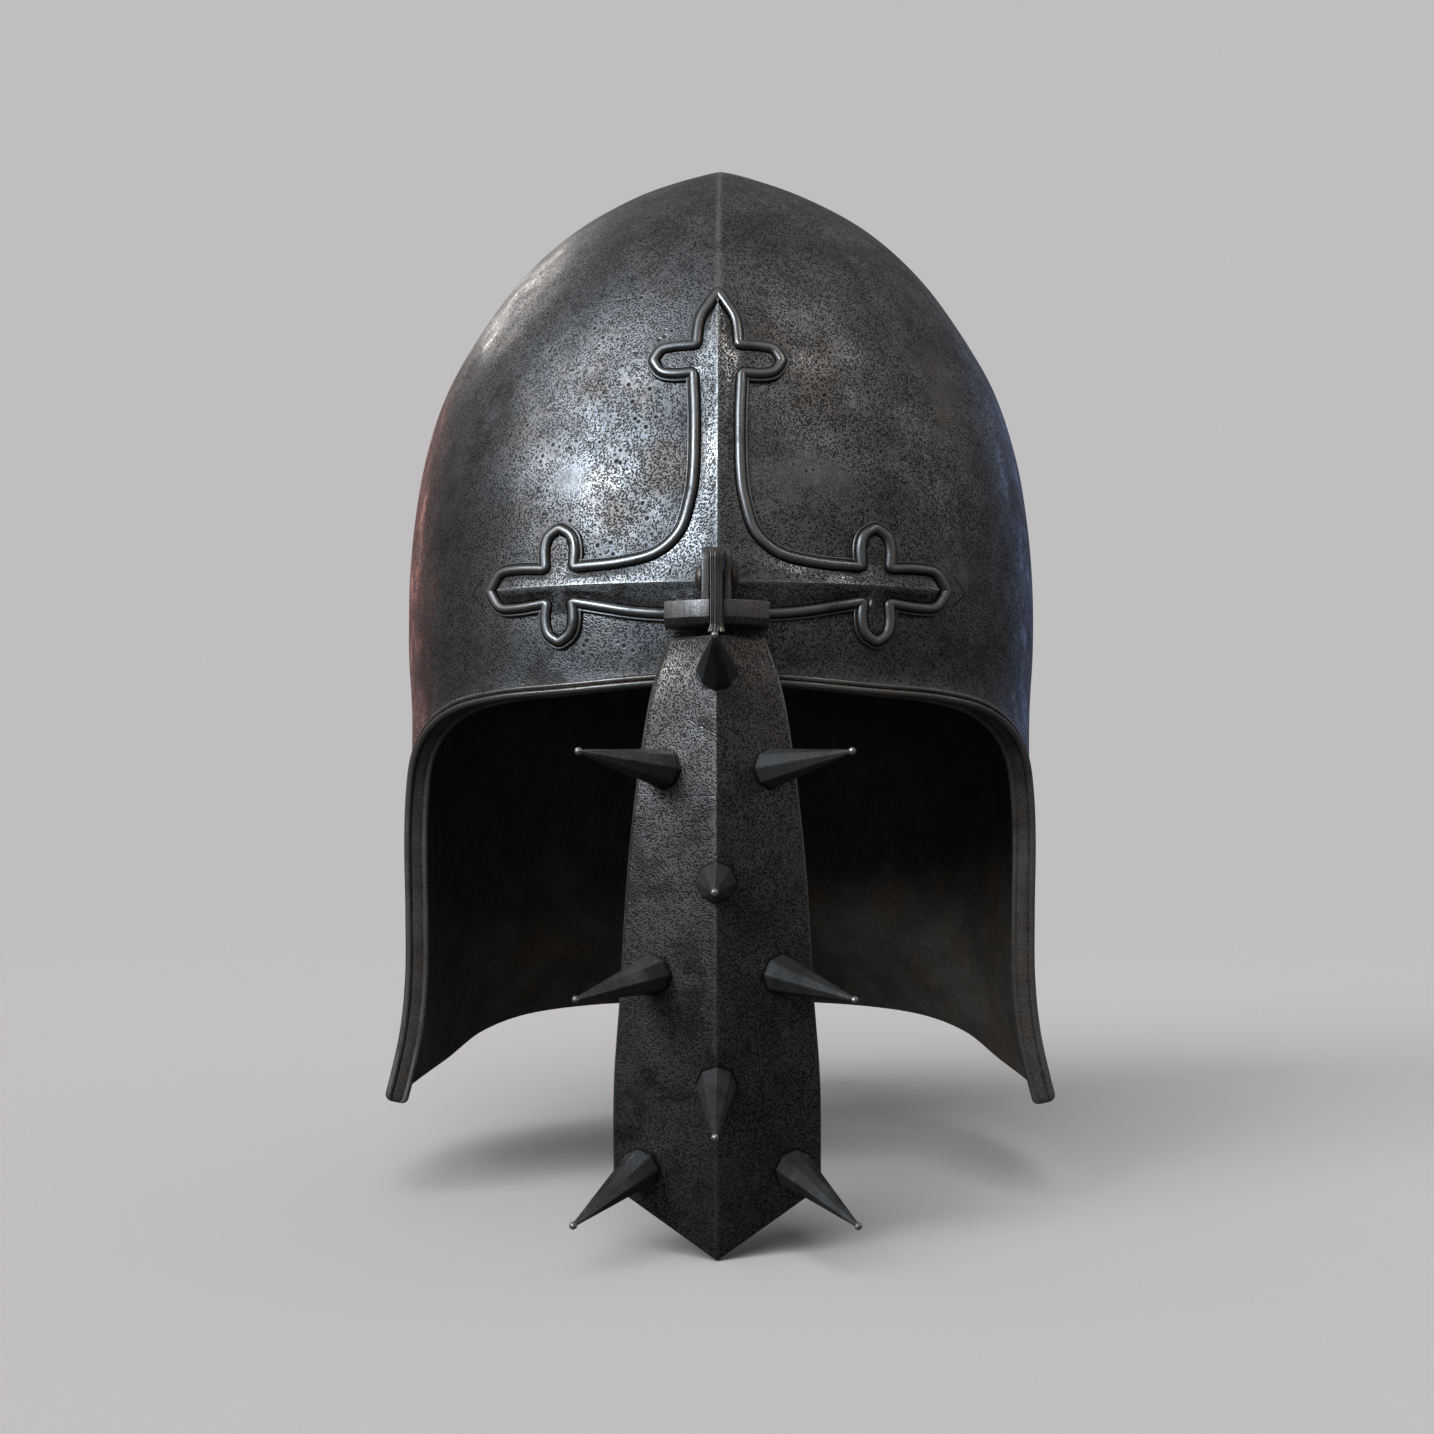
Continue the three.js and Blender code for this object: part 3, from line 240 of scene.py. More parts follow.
class Finish:
    """The node tree of a material or of the room. Patterns are in metres, on the object's own
    coordinates."""

    def __init__(self, owner):
        owner.use_nodes = True
        self.tree = owner.node_tree
        self.tree.nodes.clear()
        self.place = self.node("TexCoord", {}, {}, "Object")

    def node(self, kind, settings, sockets, output=0):
        """Adds a node: its settings and the stops of its ramp first, then the values or links of
        its sockets."""
        made = self.tree.nodes.new("ShaderNode" + kind)
        for key, value in settings.items():
            if key == "stops":
                for position, colour in value[1:-1]:
                    made.color_ramp.elements.new(0.5)
                for element, (position, colour) in zip(made.color_ramp.elements, value):
                    element.position, element.color = position, colour
            else:
                setattr(made, key, value)
        for key, value in sockets.items():
            if isinstance(value, Value):
                self.tree.links.new(value.socket, made.inputs[key])
            else:
                made.inputs[key].default_value = value
        return Value(self, made.outputs[output]) if made.outputs else None

    def noise(self, size, detail, rough, place=None):
        """Cloudy noise between 0 and 1 with patches of about the given size in mm."""
        return self.node("TexNoise", {}, {"Vector": place or self.place, "Scale": 1000 / size,
                                          "Detail": detail, "Roughness": rough})

    def step(self, value, low, high):
        """0 below low, 1 above high and a smooth rise between them."""
        return self.node("MapRange", {"interpolation_type": "SMOOTHSTEP"},
                         {0: value, 1: low, 2: high, 3: 0.0, 4: 1.0})

    def stretched(self, turn, long, short):
        """Coordinates turned about all axes and drawn out along one of them, for scratches."""
        return self.node("Mapping", {}, {0: self.place, "Rotation": turn,
                                         "Scale": (1 / short, 1 / short, 1 / long)})

    def stroke(self, x, z, end_x, end_z, width):
        """Thin line on the front of the piece between two places in mm: 1 on the line and 0
        beyond its width and its ends."""
        along = Vector((end_x - x, 0, end_z - z)) * 0.001
        middle = Vector((end_x + x, 0, end_z + z)) * 0.0005
        ahead, half = along.normalized(), along.length / 2
        offset = self.node("VectorMath", {"operation": "SUBTRACT"}, {0: self.place, 1: middle})
        far, aside = (self.node("VectorMath", {"operation": "DOT_PRODUCT"}, {0: offset, 1: way},
                                "Value").math("ABSOLUTE") for way in (ahead, Vector((-ahead.z, 0, ahead.x))))
        depth = self.node("SeparateXYZ", {}, {0: self.place}, "Y")
        return (self.step(aside, width * 0.0006, width * 0.0002) * self.step(far, half, 0.7 * half)
                * self.step(depth, 0.0, -0.02))

    def mix(self, share, one, other):
        """Blend of two colours by a share."""
        return self.node("Mix", {"data_type": "RGBA"}, {0: share, 6: one, 7: other}, 2)


# Soot, also the black of painted shade in grooves and at feet, and the dark of a dot, and how far apart dots
# and pits lie in mm
SOOT_AND_PAINTED_SHADE, DOT_BLACK = (0.012, 0.011, 0.011, 1), (0.02, 0.019, 0.019, 1)
DOT_SPACING, PIT_SPACING = 0.62, 3.1


def steel(name, dark, light, rust, gloss, pitting, speckle, relief, bare, rust_share, metal=1.0,
          strokes=(), filed=0.0):
    """Blackened, hammered and pitted steel. The colour runs from dark to light by cloud
    patterns and upright file lines, fine dots, round pits and strokes darken it, rust tints it,
    and places of wear and scratches show bare metal. Polished patches are smoother. Negative wear
    is painted shade: it darkens grooves and feet towards soot black."""
    material = bpy.data.materials.new(name)
    finish = Finish(material)
    cloud = finish.noise(42, 3, 0.55)
    mottle = finish.noise(11, 3, 0.5)
    flecks = finish.noise(1.7, 2, 0.6)
    dots = finish.node("TexVoronoi", {}, {"Vector": finish.place, "Scale": 1000 / DOT_SPACING})
    smooth = finish.step(finish.noise(34, 3, 0.5), 0.58, 0.72)
    grain = speckle * (1 - finish.step(dots + 0.4 * flecks, 0.5, 0.88)) * (1 - 0.6 * smooth)
    cells = finish.node("TexVoronoi", {}, {"Vector": finish.place, "Scale": 1000 / PIT_SPACING})
    reach = pitting * finish.step(finish.noise(8, 2, 0.5), 0.42, 0.62)
    pits = finish.step(cells, reach, 0.5 * reach)
    pit_rims = finish.node("MapRange", {},
                           {0: cells, 1: 1.9 * reach, 2: 1.3 * reach, 3: 0.0, 4: 1.0})
    grain = grain * (1 - 0.8 * pit_rims)
    scratches = finish.noise(1, 2, 0.5, finish.stretched((0.5, 0.9, 0.3), 42, 0.5))
    scratches = finish.step(scratches, 0.75, 0.8)
    cross_scratches = finish.noise(1, 2, 0.5, finish.stretched((1.9, -0.6, 1.1), 30, 0.45))
    marks = scratches + finish.step(cross_scratches, 0.76, 0.81)
    lines = finish.noise(1, 2, 0.6, finish.stretched((0, 0, 0), 40, 0.8))
    shade = finish.step(0.45 * mottle + 0.55 * cloud + filed * (lines - 0.5), 0.38, 0.64)
    colour = finish.mix(shade, (*dark, 1), (*light, 1))
    stain = rust_share * finish.step(finish.noise(30, 5, 0.7), 0.46, 0.68)
    colour = finish.mix(stain, colour, (*rust, 1))
    worn = finish.node("Attribute", {"attribute_name": "worn"}, {}, "Fac")
    rubbed = worn * finish.step(mottle + 0.3 * flecks, 0.3, 0.6)
    colour = finish.mix(rubbed, colour, (*bare, 1))
    colour = finish.mix(0.3 * marks, colour, (*bare, 1))
    grain = grain * (1 - 0.7 * rubbed)
    colour = finish.mix(grain, colour, DOT_BLACK)
    # Painted shade: where the wear attribute is negative, grooves and feet are darkened towards soot black
    colour = finish.mix(0.85 * finish.step(worn, 0.0, -1.0), colour, SOOT_AND_PAINTED_SHADE)
    colour = finish.mix(0.8 * pits, colour, SOOT_AND_PAINTED_SHADE)
    height = 0.2 * mottle - 0.3 * grain - 0.9 * pits - 0.15 * marks + 0.8 * filed * lines
    for stroke in strokes:
        line = finish.stroke(*stroke)
        colour = finish.mix(0.5 * line, colour, SOOT_AND_PAINTED_SHADE)
        height = height - 0.4 * line
    polish = finish.step(finish.noise(14, 4, 0.6), 0.52, 0.64)
    rough = (gloss + 0.08 * (1 - shade) + 0.25 * pits - 0.08 * rubbed + 0.15 * grain
             + 0.1 * stain - 0.14 * polish)
    bump = finish.node("Bump", {}, {"Strength": relief, "Distance": 0.0003, "Height": height})
    shader = finish.node("BsdfPrincipled", {},
                         {"Base Color": colour, "Metallic": metal, "Roughness": rough, "Normal": bump})
    finish.node("OutputMaterial", {}, {0: shader})
    return material


# Scratches on the front, and the fine points beyond the arms of the cross: x and z of both ends
# and the width, in mm
BOWL_STROKES = [(-47, 170, -23, 170.5, 0.5), (-32, 118, -23, 99, 0.45), (74.6, 81, 79, 75.6, 0.9),
                (74.6, 71, 79, 76, 0.9), (-74.6, 81, -79, 75.6, 0.9), (-74.6, 71, -79, 76, 0.9)]
forged_steel = steel("forged_steel", (0.16, 0.161, 0.165), (0.28, 0.285, 0.295), (0.175, 0.13, 0.1),
                     0.35, 0.3, 0.95, 0.35, (0.42, 0.425, 0.43), 0.5, 0.97, BOWL_STROKES)
# The inner face gets its own darker, duller steel: painted shade for the inside of the helmet
inside_shade_steel = steel("inside_shade_steel", (0.14, 0.136, 0.126), (0.24, 0.228, 0.205), (0.23, 0.15, 0.09),
                        0.45, 0.15, 0.5, 0.3, (0.3, 0.285, 0.26), 0.6, 0.2)

FACE_COLUMNS, NECK_COLUMNS, OUTER_ROWS, INNER_ROWS = 100, 80, 190, 60
# Dents of the hammer: how many, the range of their widths and of their depths in mm
BOWL_DENTS, SHOULDER_DENTS = (420, (3.5, 10), (0.03, 0.12)), (60, (2.5, 6), (0.15, 0.4))
DEEPEST_DENT, DENTS_AT_ONCE, HAMMER_SEED = 0.45, 40, 11
face_places = edge_stations(FACE_EDGE, FACE_COLUMNS)
neck_places = edge_stations(NECK_EDGE, NECK_COLUMNS)
neck_places[:, 2] += face_places[-1, 2]
half_edge = np.vstack([face_places, neck_places[1:]])
half_start = np.pi * half_edge[:, 2] / half_edge[-1, 2]
edge_bearing = np.concatenate([half_edge[:, 0], -half_edge[-2:0:-1, 0]])
edge_z = np.concatenate([half_edge[:, 1], half_edge[-2:0:-1, 1]])
edge_start = np.concatenate([half_start, -half_start[-2:0:-1]])
ring_depth = np.concatenate([[0], np.cumsum(np.hypot(np.diff(RINGS[:, 1]), np.diff(RINGS[:, 0])))])


def sheet_face(rows, inset):
    """Face of the sheet: each column runs from the apex to its place on the cut edge, straight
    in bearing and in depth along the meridian, and lies inset along the normal."""
    share = (np.arange(1, rows + 1) / rows)[:, None]
    depth = share * np.interp(-edge_z, -RINGS[:, 0], ring_depth)
    z = np.interp(depth, ring_depth, RINGS[:, 0])
    bearing = edge_start + (edge_bearing - edge_start) * share
    normal = bowl_normal(bearing, z)
    return bowl(bearing, z) - normal * inset, normal


def dented(points, normal, random, struck, count, widths, depths):
    """Shallow round dents of the hammer at some of the struck points: each lowers the face by a
    bell curve of the distance. A depth holds for a dent 7 mm wide and grows with the width."""
    centres = struck[random.integers(0, len(struck), count)]
    width = random.uniform(*widths, count)
    depth = random.uniform(*depths, count) * width / 7
    sunk = np.zeros(len(points))
    for first in range(0, count, DENTS_AT_ONCE):
        part = slice(first, first + DENTS_AT_ONCE)
        gap = np.linalg.norm(points[:, None] - centres[None, part], axis=2)
        sunk += (depth[part] * np.exp(-(gap / width[part]) ** 2)).sum(1)
    return points - normal * np.minimum(sunk, DEEPEST_DENT)[:, None]


outer, outer_normal = sheet_face(OUTER_ROWS, 0)
inner, _ = sheet_face(INNER_ROWS, SHEET)
around = len(edge_z)
random = np.random.default_rng(HAMMER_SEED)
flat_outer, flat_normal = outer.reshape(-1, 3), outer_normal.reshape(-1, 3)
# The wearer's right shoulder of the bowl was struck harder
shoulder = flat_outer[(flat_outer[:, 0] < -45) & (flat_outer[:, 1] < 20) & (flat_outer[:, 2] > 110)]
flat_outer = dented(flat_outer, flat_normal, random, flat_outer, *BOWL_DENTS)
flat_outer = dented(flat_outer, flat_normal, random, shoulder, *SHOULDER_DENTS)
apex = np.array([[0, RINGS[0, 2], RINGS[0, 0]], [0, RINGS[0, 2], RINGS[0, 0] - SHEET]])
skull_points = np.vstack([flat_outer, inner.reshape(-1, 3), apex])
inner_start = len(flat_outer)
top_outer, top_inner = len(skull_points) - 2, len(skull_points) - 1
ring = np.arange(around)
following = (ring + 1) % around
outer_faces = grid_faces(OUTER_ROWS, around, True)
inner_faces = grid_faces(INNER_ROWS, around, True)[:, ::-1] + inner_start
last_outer, last_inner = (OUTER_ROWS - 1) * around, inner_start + (INNER_ROWS - 1) * around
lip_faces = np.stack([last_outer + ring, last_inner + ring,
                      last_inner + following, last_outer + following], -1)
caps = [(top_outer, a, b) for a, b in zip(ring, following)]
inner_caps = [(top_inner, inner_start + b, inner_start + a) for a, b in zip(ring, following)]
outer_side, inner_side = [*outer_faces, *caps, *lip_faces], [*inner_faces, *inner_caps]
skull_inside = [0] * len(outer_side) + [1] * len(inner_side)
# Bare metal along the cut edge and on the upper keel
edge_wear = np.zeros(len(skull_points))
edge_wear[:inner_start] = np.repeat(0.6 * np.exp(-(np.arange(OUTER_ROWS)[::-1] / 1.5)), around)
on_keel = (skull_points[:, 1] < 20) & (skull_points[:, 2] > 172)
edge_wear += 0.9 * on_keel * np.exp(-((skull_points[:, 0] / 0.8) ** 2))
make_piece("helmet_skull", skull_points, [*outer_side, *inner_side], [forged_steel, inside_shade_steel],
           "helmet", "skull", 45, edge_wear, skull_inside)


# Face rim: a drawn trim strip bent round the cut edge of the face opening, with a double bead
# outside, a flat band across the edge and a single bead inside, brazed to the sheet.
# Section in mm: out from the sheet's outer face, reach into the opening
RIM_SECTION = [(2.6, 0.3), (3.0, 0.7), (3.0, 1.2), (2.75, 1.65), (2.35, 1.9), (2.8, 2.15), (3.05, 2.6),
               (2.95, 3.15), (2.5, 3.6), (1.9, 3.85), (1.35, 3.75), (1.0, 3.4), (0.75, 3.2), (0.3, 3.32),
               (-1.0, 3.36), (-2.3, 3.3), (-2.75, 3.2), (-3.05, 3.5), (-3.55, 3.8), (-4.15, 3.75),
               (-4.6, 3.4), (-4.7, 2.9), (-4.7, 1.4), (-4.6, 0.3), (-1.0, 0.3)]
# How bright the wear is on each point of the section; negative values are painted shade that darkens the
# grooves
RIM_WEAR_AND_SHADE = [-0.3, 0.5, 0.5, -0.1, -0.4, -0.1, 0.6, 0.7, 0.6, 0.4, 0, -0.3, -0.3, 0.1, 0.15, 0.1, 0,
            0.3, 0.5, 0.4, 0.2, 0.1, 0, 0, 0]
# Places along the edge, the length of the rounded ends and the point of the section they close on
RIM_STATIONS, RIM_END_LENGTH = 150, 2.2
rim_middle = np.array([-0.8, 1.9])
rubbed_steel = steel("rubbed_steel", (0.13, 0.118, 0.108), (0.26, 0.243, 0.228), (0.18, 0.125, 0.09),
                     0.38, 0.1, 0.5, 0.35, (0.3, 0.29, 0.28), 0.35, 0.85)


def tube_faces(rows, columns):
    """Quads of a tube of rings, each a row of the grid, and a flat face over both its ends."""
    last = (rows - 1) * columns
    return [*grid_faces(rows, columns, True), list(range(columns)), list(range(last, last + columns))]


rim_half = edge_stations(FACE_EDGE, RIM_STATIONS)
rim_bearing = np.concatenate([-rim_half[:0:-1, 0], rim_half[:, 0]])
rim_z = np.concatenate([rim_half[:0:-1, 1], rim_half[:, 1]])
rim_place = bowl(rim_bearing, rim_z)
rim_along = np.gradient(rim_place, axis=0)
# The way into the opening is that along the edge crossed with the way out of the sheet
rim_out = bowl_normal(rim_bearing, rim_z)
rim_in, rim_along = unit(np.cross(rim_along, rim_out)), unit(rim_along)
rim_outline = smooth_line(np.column_stack([RIM_SECTION, RIM_WEAR_AND_SHADE]), 2, True, (0, 23))
end_turn = np.radians(np.array([18, 36, 54, 72, 86]))
end_far = RIM_END_LENGTH * np.sin(end_turn)
end_size = np.cos(end_turn) ** 0.6
share = np.concatenate([end_size[::-1], np.ones(len(rim_place)), end_size])
beyond = np.concatenate([-end_far[::-1], np.zeros(len(rim_place)), end_far])
ends = (len(end_turn), len(end_turn))
centre, outward, inward, along = (np.pad(way, (ends, (0, 0)), "edge")[:, None]
                                  for way in (rim_place, rim_out, rim_in, rim_along))
section = rim_middle + (rim_outline[None, :, :2] - rim_middle) * share[:, None, None]
rim_rings = (centre + outward * section[..., 0:1] + inward * section[..., 1:2]
             + along * beyond[:, None, None])
make_piece("helmet_face_rim", rim_rings.reshape(-1, 3), tube_faces(*rim_rings.shape[:2]), [rubbed_steel],
           "helmet", "face_rim", 60,
           np.tile(np.clip(rim_outline[:, 2], -1, 1), len(rim_rings)))


# Brow cross: a plate chiselled to low facets that meet in ridges along its shaft and arm, laid
# on the brow and brazed. Its crown and arms end in three lobes.
CROWN_Z, ARM_X, ARM_Z = 146.8, 48.4, 75.6
# Lobes in mm: x, z, aim in degrees, half widths at root, middle and shoulder, length
LOBES = {
    "top": (0, 151.8, 90, 6.6, 5.4, 2.3, 18.6),
    "crown": (7.4, 146.8, 0, 4.3, 4.6, 3.7, 12.5),
    "up": (48.4, 81.3, 90, 4.5, 4.7, 3.5, 12.6),
    "end": (52.4, 75.8, 0, 4.8, 6.1, 5.4, 19),
    "down": (48.3, 70.6, -90, 4.1, 4.4, 3.3, 12.3),
}
# Places of the edge with the ridge place they rise to: x, z, ridge x, ridge z
SHAFT = [(6.8, 127, 0, 127), (7.2, 108, 0, 108), (8.3, 101, 0, 96), (11.4, 91.4, 0, ARM_Z),
         (18.2, 85.1, 12, ARM_Z), (29, 82.3, 25, ARM_Z)]
LOWER_EDGE = [(25, 67, 25, ARM_Z), (12, 66, 12, ARM_Z), (0, 65.8, 0, ARM_Z)]
EDGE_STEPS, EVEN_STATIONS, FACET_STEPS = 12, 1300, 8
# In mm: how far the plate ends inside the edge line, heights over the bowl, how far the arm's
# lower facet reaches down, and the bell curve that softens the edge line's corners
PLATE_INSET, UNDERSIDE, EDGE_HEIGHT, RIDGE_HEIGHT, ARM_DROP = 1.95, 0.05, 1.1, 2.7, 8.5
SOFTENING, SOFTENING_REACH = 0.75, 2.4


def lobe(key, meet_x, meet_z):
    """Edge places of a lobe, clockwise: root, belly, shoulder, tip and back. The sides rise to
    a short ridge inside the lobe, the root to where the ridges meet."""
    x, z, aim, root, belly, shoulder, length = LOBES[key]
    ahead = np.array([math.cos(math.radians(aim)), math.sin(math.radians(aim))])
    aside = np.array([-ahead[1], ahead[0]])

    def place(side, far):
        return np.array([x, z]) + ahead * far * length + aside * side

    half = [(0.5, belly, 0.5), (0.8, shoulder, 0.7), (1, 0, 0.78)]
    sides = half + [(far, -side, ridge) for far, side, ridge in half[1::-1]]
    corners = [(*place(side, far), *place(0, ridge), far == 1) for far, side, ridge in sides]
    return [(*place(root, 0), meet_x, meet_z, 1), *corners, (*place(-root, 0), meet_x, meet_z, 1)]


def cross_corners():
    """Right half of the cross's edge from the top, then its mirror image: x, z, ridge x, ridge
    z, and 1 at a sharp corner."""
    right = [*lobe("top", 0, CROWN_Z)[3:], *lobe("crown", 0, CROWN_Z)[1:],
             *[(*row, 0) for row in SHAFT], *lobe("up", ARM_X, ARM_Z),
             *lobe("end", ARM_X, ARM_Z)[1:-1], *lobe("down", ARM_X, ARM_Z),
             *[(*row, 0) for row in LOWER_EDGE]]
    right = np.array(right, float)
    left = right[-2:0:-1] * np.array([-1, 1, -1, 1, 1])
    return np.vstack([right, left])


corners = cross_corners()
cross_edge = smooth_line(corners[:, :2], EDGE_STEPS, True, np.flatnonzero(corners[:, 4] > 0.5))
blend = (np.arange(EDGE_STEPS) / EDGE_STEPS)[None, :, None]
ridge_here, ridge_next = corners[:, None, 2:4], np.roll(corners, -1, 0)[:, None, 2:4]
cross_ridge = (ridge_here * (1 - blend) + ridge_next * blend).reshape(-1, 2)
edge_steps = np.linalg.norm(np.roll(cross_edge, -1, 0) - cross_edge, axis=1)
edge_length = np.concatenate([[0], np.cumsum(edge_steps)])
even_length = np.linspace(0, edge_length[-1], EVEN_STATIONS + 1)


def along_edge(values, stops, wanted):
    """Values given at stops along the closed edge line, read at the wanted distances."""
    closed = np.vstack([values, values[:1]])
    return np.stack([np.interp(wanted[:-1], stops, closed[:, k]) for k in (0, 1)], -1)


even_edge = along_edge(cross_edge, edge_length, even_length)
reach = int(SOFTENING_REACH / even_length[1])
offsets = np.arange(-reach, reach + 1)
weights = np.exp(-((offsets * even_length[1] / SOFTENING) ** 2))
soft_edge = sum(w * np.roll(even_edge, k, 0) for k, w in zip(offsets, weights)) / weights.sum()
soft_tangent = unit(np.roll(soft_edge, -1, 0) - np.roll(soft_edge, 1, 0))
soft_away = np.stack([-soft_tangent[:, 1], soft_tangent[:, 0]], -1)


def over_bowl(x, z, height):
    """Place over the front of the bowl at x and z as seen from the front; the bearing is found
    by halving."""
    x, z, height = (np.asarray(a, float) for a in np.broadcast_arrays(x, z, height))
    low, high = np.zeros_like(x), np.full_like(x, np.pi / 2)
    for step in range(36):
        middle = (low + high) / 2
        short = bowl(middle, z)[..., 0] < np.abs(x)
        low, high = np.where(short, middle, low), np.where(short, high, middle)
    bearing = np.sign(x) * (low + high) / 2
    return bowl(bearing, z) + bowl_normal(bearing, z) * height[..., None]


plate_away = unit(along_edge(soft_away, even_length, edge_length))
plate_edge = along_edge(soft_edge, even_length, edge_length) - plate_away * PLATE_INSET
climb = (np.arange(FACET_STEPS + 1) / FACET_STEPS)[:, None]
flat_x = plate_edge[:, 0] * (1 - climb) + cross_ridge[:, 0] * climb
flat_z = plate_edge[:, 1] * (1 - climb) + cross_ridge[:, 1] * climb
# Both roofs fall evenly from their ridges to the edge; the lobes beside them lie flat
shaft_x, shaft_z = np.array(SHAFT)[:, :2].T
arm_reach = np.interp(np.abs(flat_x), shaft_x, shaft_z - ARM_Z)
shaft_roof = 1 - np.abs(flat_x) / np.interp(flat_z, shaft_z[::-1], shaft_x[::-1])
arm_roof = 1 - np.abs(flat_z - ARM_Z) / np.where(flat_z > ARM_Z, arm_reach, ARM_DROP)
roof = np.minimum(np.maximum(np.maximum(shaft_roof, arm_roof), 0), 1.5 * climb)
upper = over_bowl(flat_x, flat_z, EDGE_HEIGHT + (RIDGE_HEIGHT - EDGE_HEIGHT) * roof)
lower = over_bowl(flat_x, flat_z, UNDERSIDE)
count = len(plate_edge)
plate_points = np.vstack([upper.reshape(-1, 3), lower.reshape(-1, 3)])
half_size = upper.size // 3
upper_faces = grid_faces(FACET_STEPS + 1, count, True)
ring = np.arange(count)
following = (ring + 1) % count
side_faces = np.stack([ring, following, half_size + following, half_size + ring], -1)
plate_faces = [*upper_faces, *(upper_faces[:, ::-1] + half_size), *side_faces]
# Rubbed a little round the edge and most of all along the ridges
upper_worn = 0.2 * (1 - climb) ** 6 + 0.8 * np.clip(10 * roof - 9, 0, 1)
chased_steel = steel("chased_steel", (0.155, 0.155, 0.158), (0.275, 0.278, 0.285), (0.18, 0.135, 0.1),
                     0.36, 0.1, 0.95, 0.35, (0.4, 0.4, 0.4), 0.35, 0.97)
make_piece("brow_cross_plate", plate_points, plate_faces, [chased_steel], "helmet", "brow_cross",
           12, np.concatenate([upper_worn.reshape(-1), np.zeros(half_size)]))


# Cross border: a half-round wire bent round the edge of the cross on a thin strip, brazed down
# and burnished where hands and cloths have rubbed it.
# Section in mm: away from the wire's middle line, height over the bowl, wear; negative wear is painted shade
# in the groove beside the wire and where it meets the bowl
BEAD_SECTION = [(-1.65, 0.05, -1), (-1.65, 0.8, -1), (-1.5, 1.45, -0.4), (-1.12, 2.0, 0.2),
                (-0.6, 2.33, 0.6), (0, 2.4, 1), (0.6, 2.33, 0.6), (1.12, 2.0, 0.2), (1.44, 1.55, -0.2),
                (1.54, 1.2, -0.9), (1.75, 1.1, -0.9), (2.15, 1.2, 0.5), (2.42, 1.02, 0.2), (2.5, 0.05, -1)]
burnished_steel = steel("burnished_steel", (0.1, 0.099, 0.1), (0.176, 0.175, 0.177), (0.14, 0.105, 0.08),
                        0.36, 0.05, 0.35, 0.25, (0.3, 0.3, 0.3), 0.5, 0.95)
bead_outline = smooth_line(BEAD_SECTION, 2, True, (0, 9, 13))
bead_x = soft_edge[:, None, 0] + soft_away[:, None, 0] * bead_outline[None, :, 0]
bead_z = soft_edge[:, None, 1] + soft_away[:, None, 1] * bead_outline[None, :, 0]
bead_rings = over_bowl(bead_x, bead_z, np.broadcast_to(bead_outline[None, :, 1], bead_x.shape))
rows, columns = bead_rings.shape[:2]
bead_faces = grid_faces(rows + 1, columns, True) % (rows * columns)
make_piece("brow_cross_border", bead_rings.reshape(-1, 3), bead_faces, [burnished_steel], "helmet",
           "cross_border", 50, np.tile(np.clip(bead_outline[:, 2], -1, 1), rows))


# Nasal bracket: a D-shaped shelf with two ears, filed from one block and brazed over the foot of
# the cross. The slot between the ears takes the tang of the nasal, and the pin goes through both.
# Sizes in mm
PIN_Y, PIN_Z, PIN_RADIUS, PIN_SIDES, PIN_HOLE_REACH = -145, 75.4, 2.5, 48, 12
SHELF_HALF_WIDTH, SHELF_FRONT_Y, SHELF_CORNER_Y = 15.6, -153.3, -146.5
SHELF_TOP_Z, SHELF_BOTTOM_Z, SLOT_MOUTH_Y, SLOT_BACK_Y = 68.4, 61, -153.16, -136
SHELF_BEVEL_HEIGHT, SHELF_BEVEL_DEPTH = 2.2, 1.7
EAR_THICKNESS, EAR_TOP_Z, EAR_FRONT_Y = 2.2, 84.2, -152.6
TANG_THICKNESS, WORKING_GAP = 3.8, 0.3
SHELF_ARRIS, EAR_ARRIS, ARRIS_STEPS = 0.5, 0.35, np.radians(np.array([90, 60, 30, 0]))
slot_half = TANG_THICKNESS / 2 + WORKING_GAP
seat_y = bowl(0, PIN_Z)[1] - RIDGE_HEIGHT - WORKING_GAP


def slab(outline, thickness, radius, lift, belt=1.0):
    """Plate of an outline in two coordinates, its arrises rounded by a quarter circle: the rings
    shrink by the radius times one less the cosine while they near the face by its sine. One more
    ring lies at the height of the belt."""
    outline = np.asarray(outline, float)
    ahead = unit(np.roll(outline, -1, 0) - outline)
    behind = np.roll(ahead, 1, 0)
    normals = [np.stack([a[:, 1], -a[:, 0]], -1) for a in (behind, ahead)]
    away = (normals[0] + normals[1]) / (1 + (normals[0] * normals[1]).sum(1))[:, None]
    area = (outline[:, 0] * np.roll(outline[:, 1], -1) - np.roll(outline[:, 0], -1) * outline[:, 1]).sum()
    away *= np.sign(area)
    shrunk, sunk = radius * (1 - np.cos(ARRIS_STEPS)), radius * (1 - np.sin(ARRIS_STEPS))
    inset = np.concatenate([shrunk, [0], shrunk[::-1]])
    half = thickness / 2
    level = np.concatenate([sunk - half, [belt - half], half - sunk[::-1]]) + lift
    rings = outline[None] - away[None] * inset[:, None, None]
    points = np.concatenate([rings, np.broadcast_to(level[:, None, None], (*rings.shape[:2], 1))], 2)
    return points.reshape(-1, 3), tube_faces(*rings.shape[:2])


def turned(profile):
    """Rings about the pin's axis through a profile of radius and x in mm."""
    radius, x = np.array(profile, float).T[:, :, None]
    turn = np.arange(PIN_SIDES) * 2 * np.pi / PIN_SIDES
    y, z = PIN_Y + radius * np.cos(turn), PIN_Z + radius * np.sin(turn)
    return np.stack(np.broadcast_arrays(x, y, z), -1)


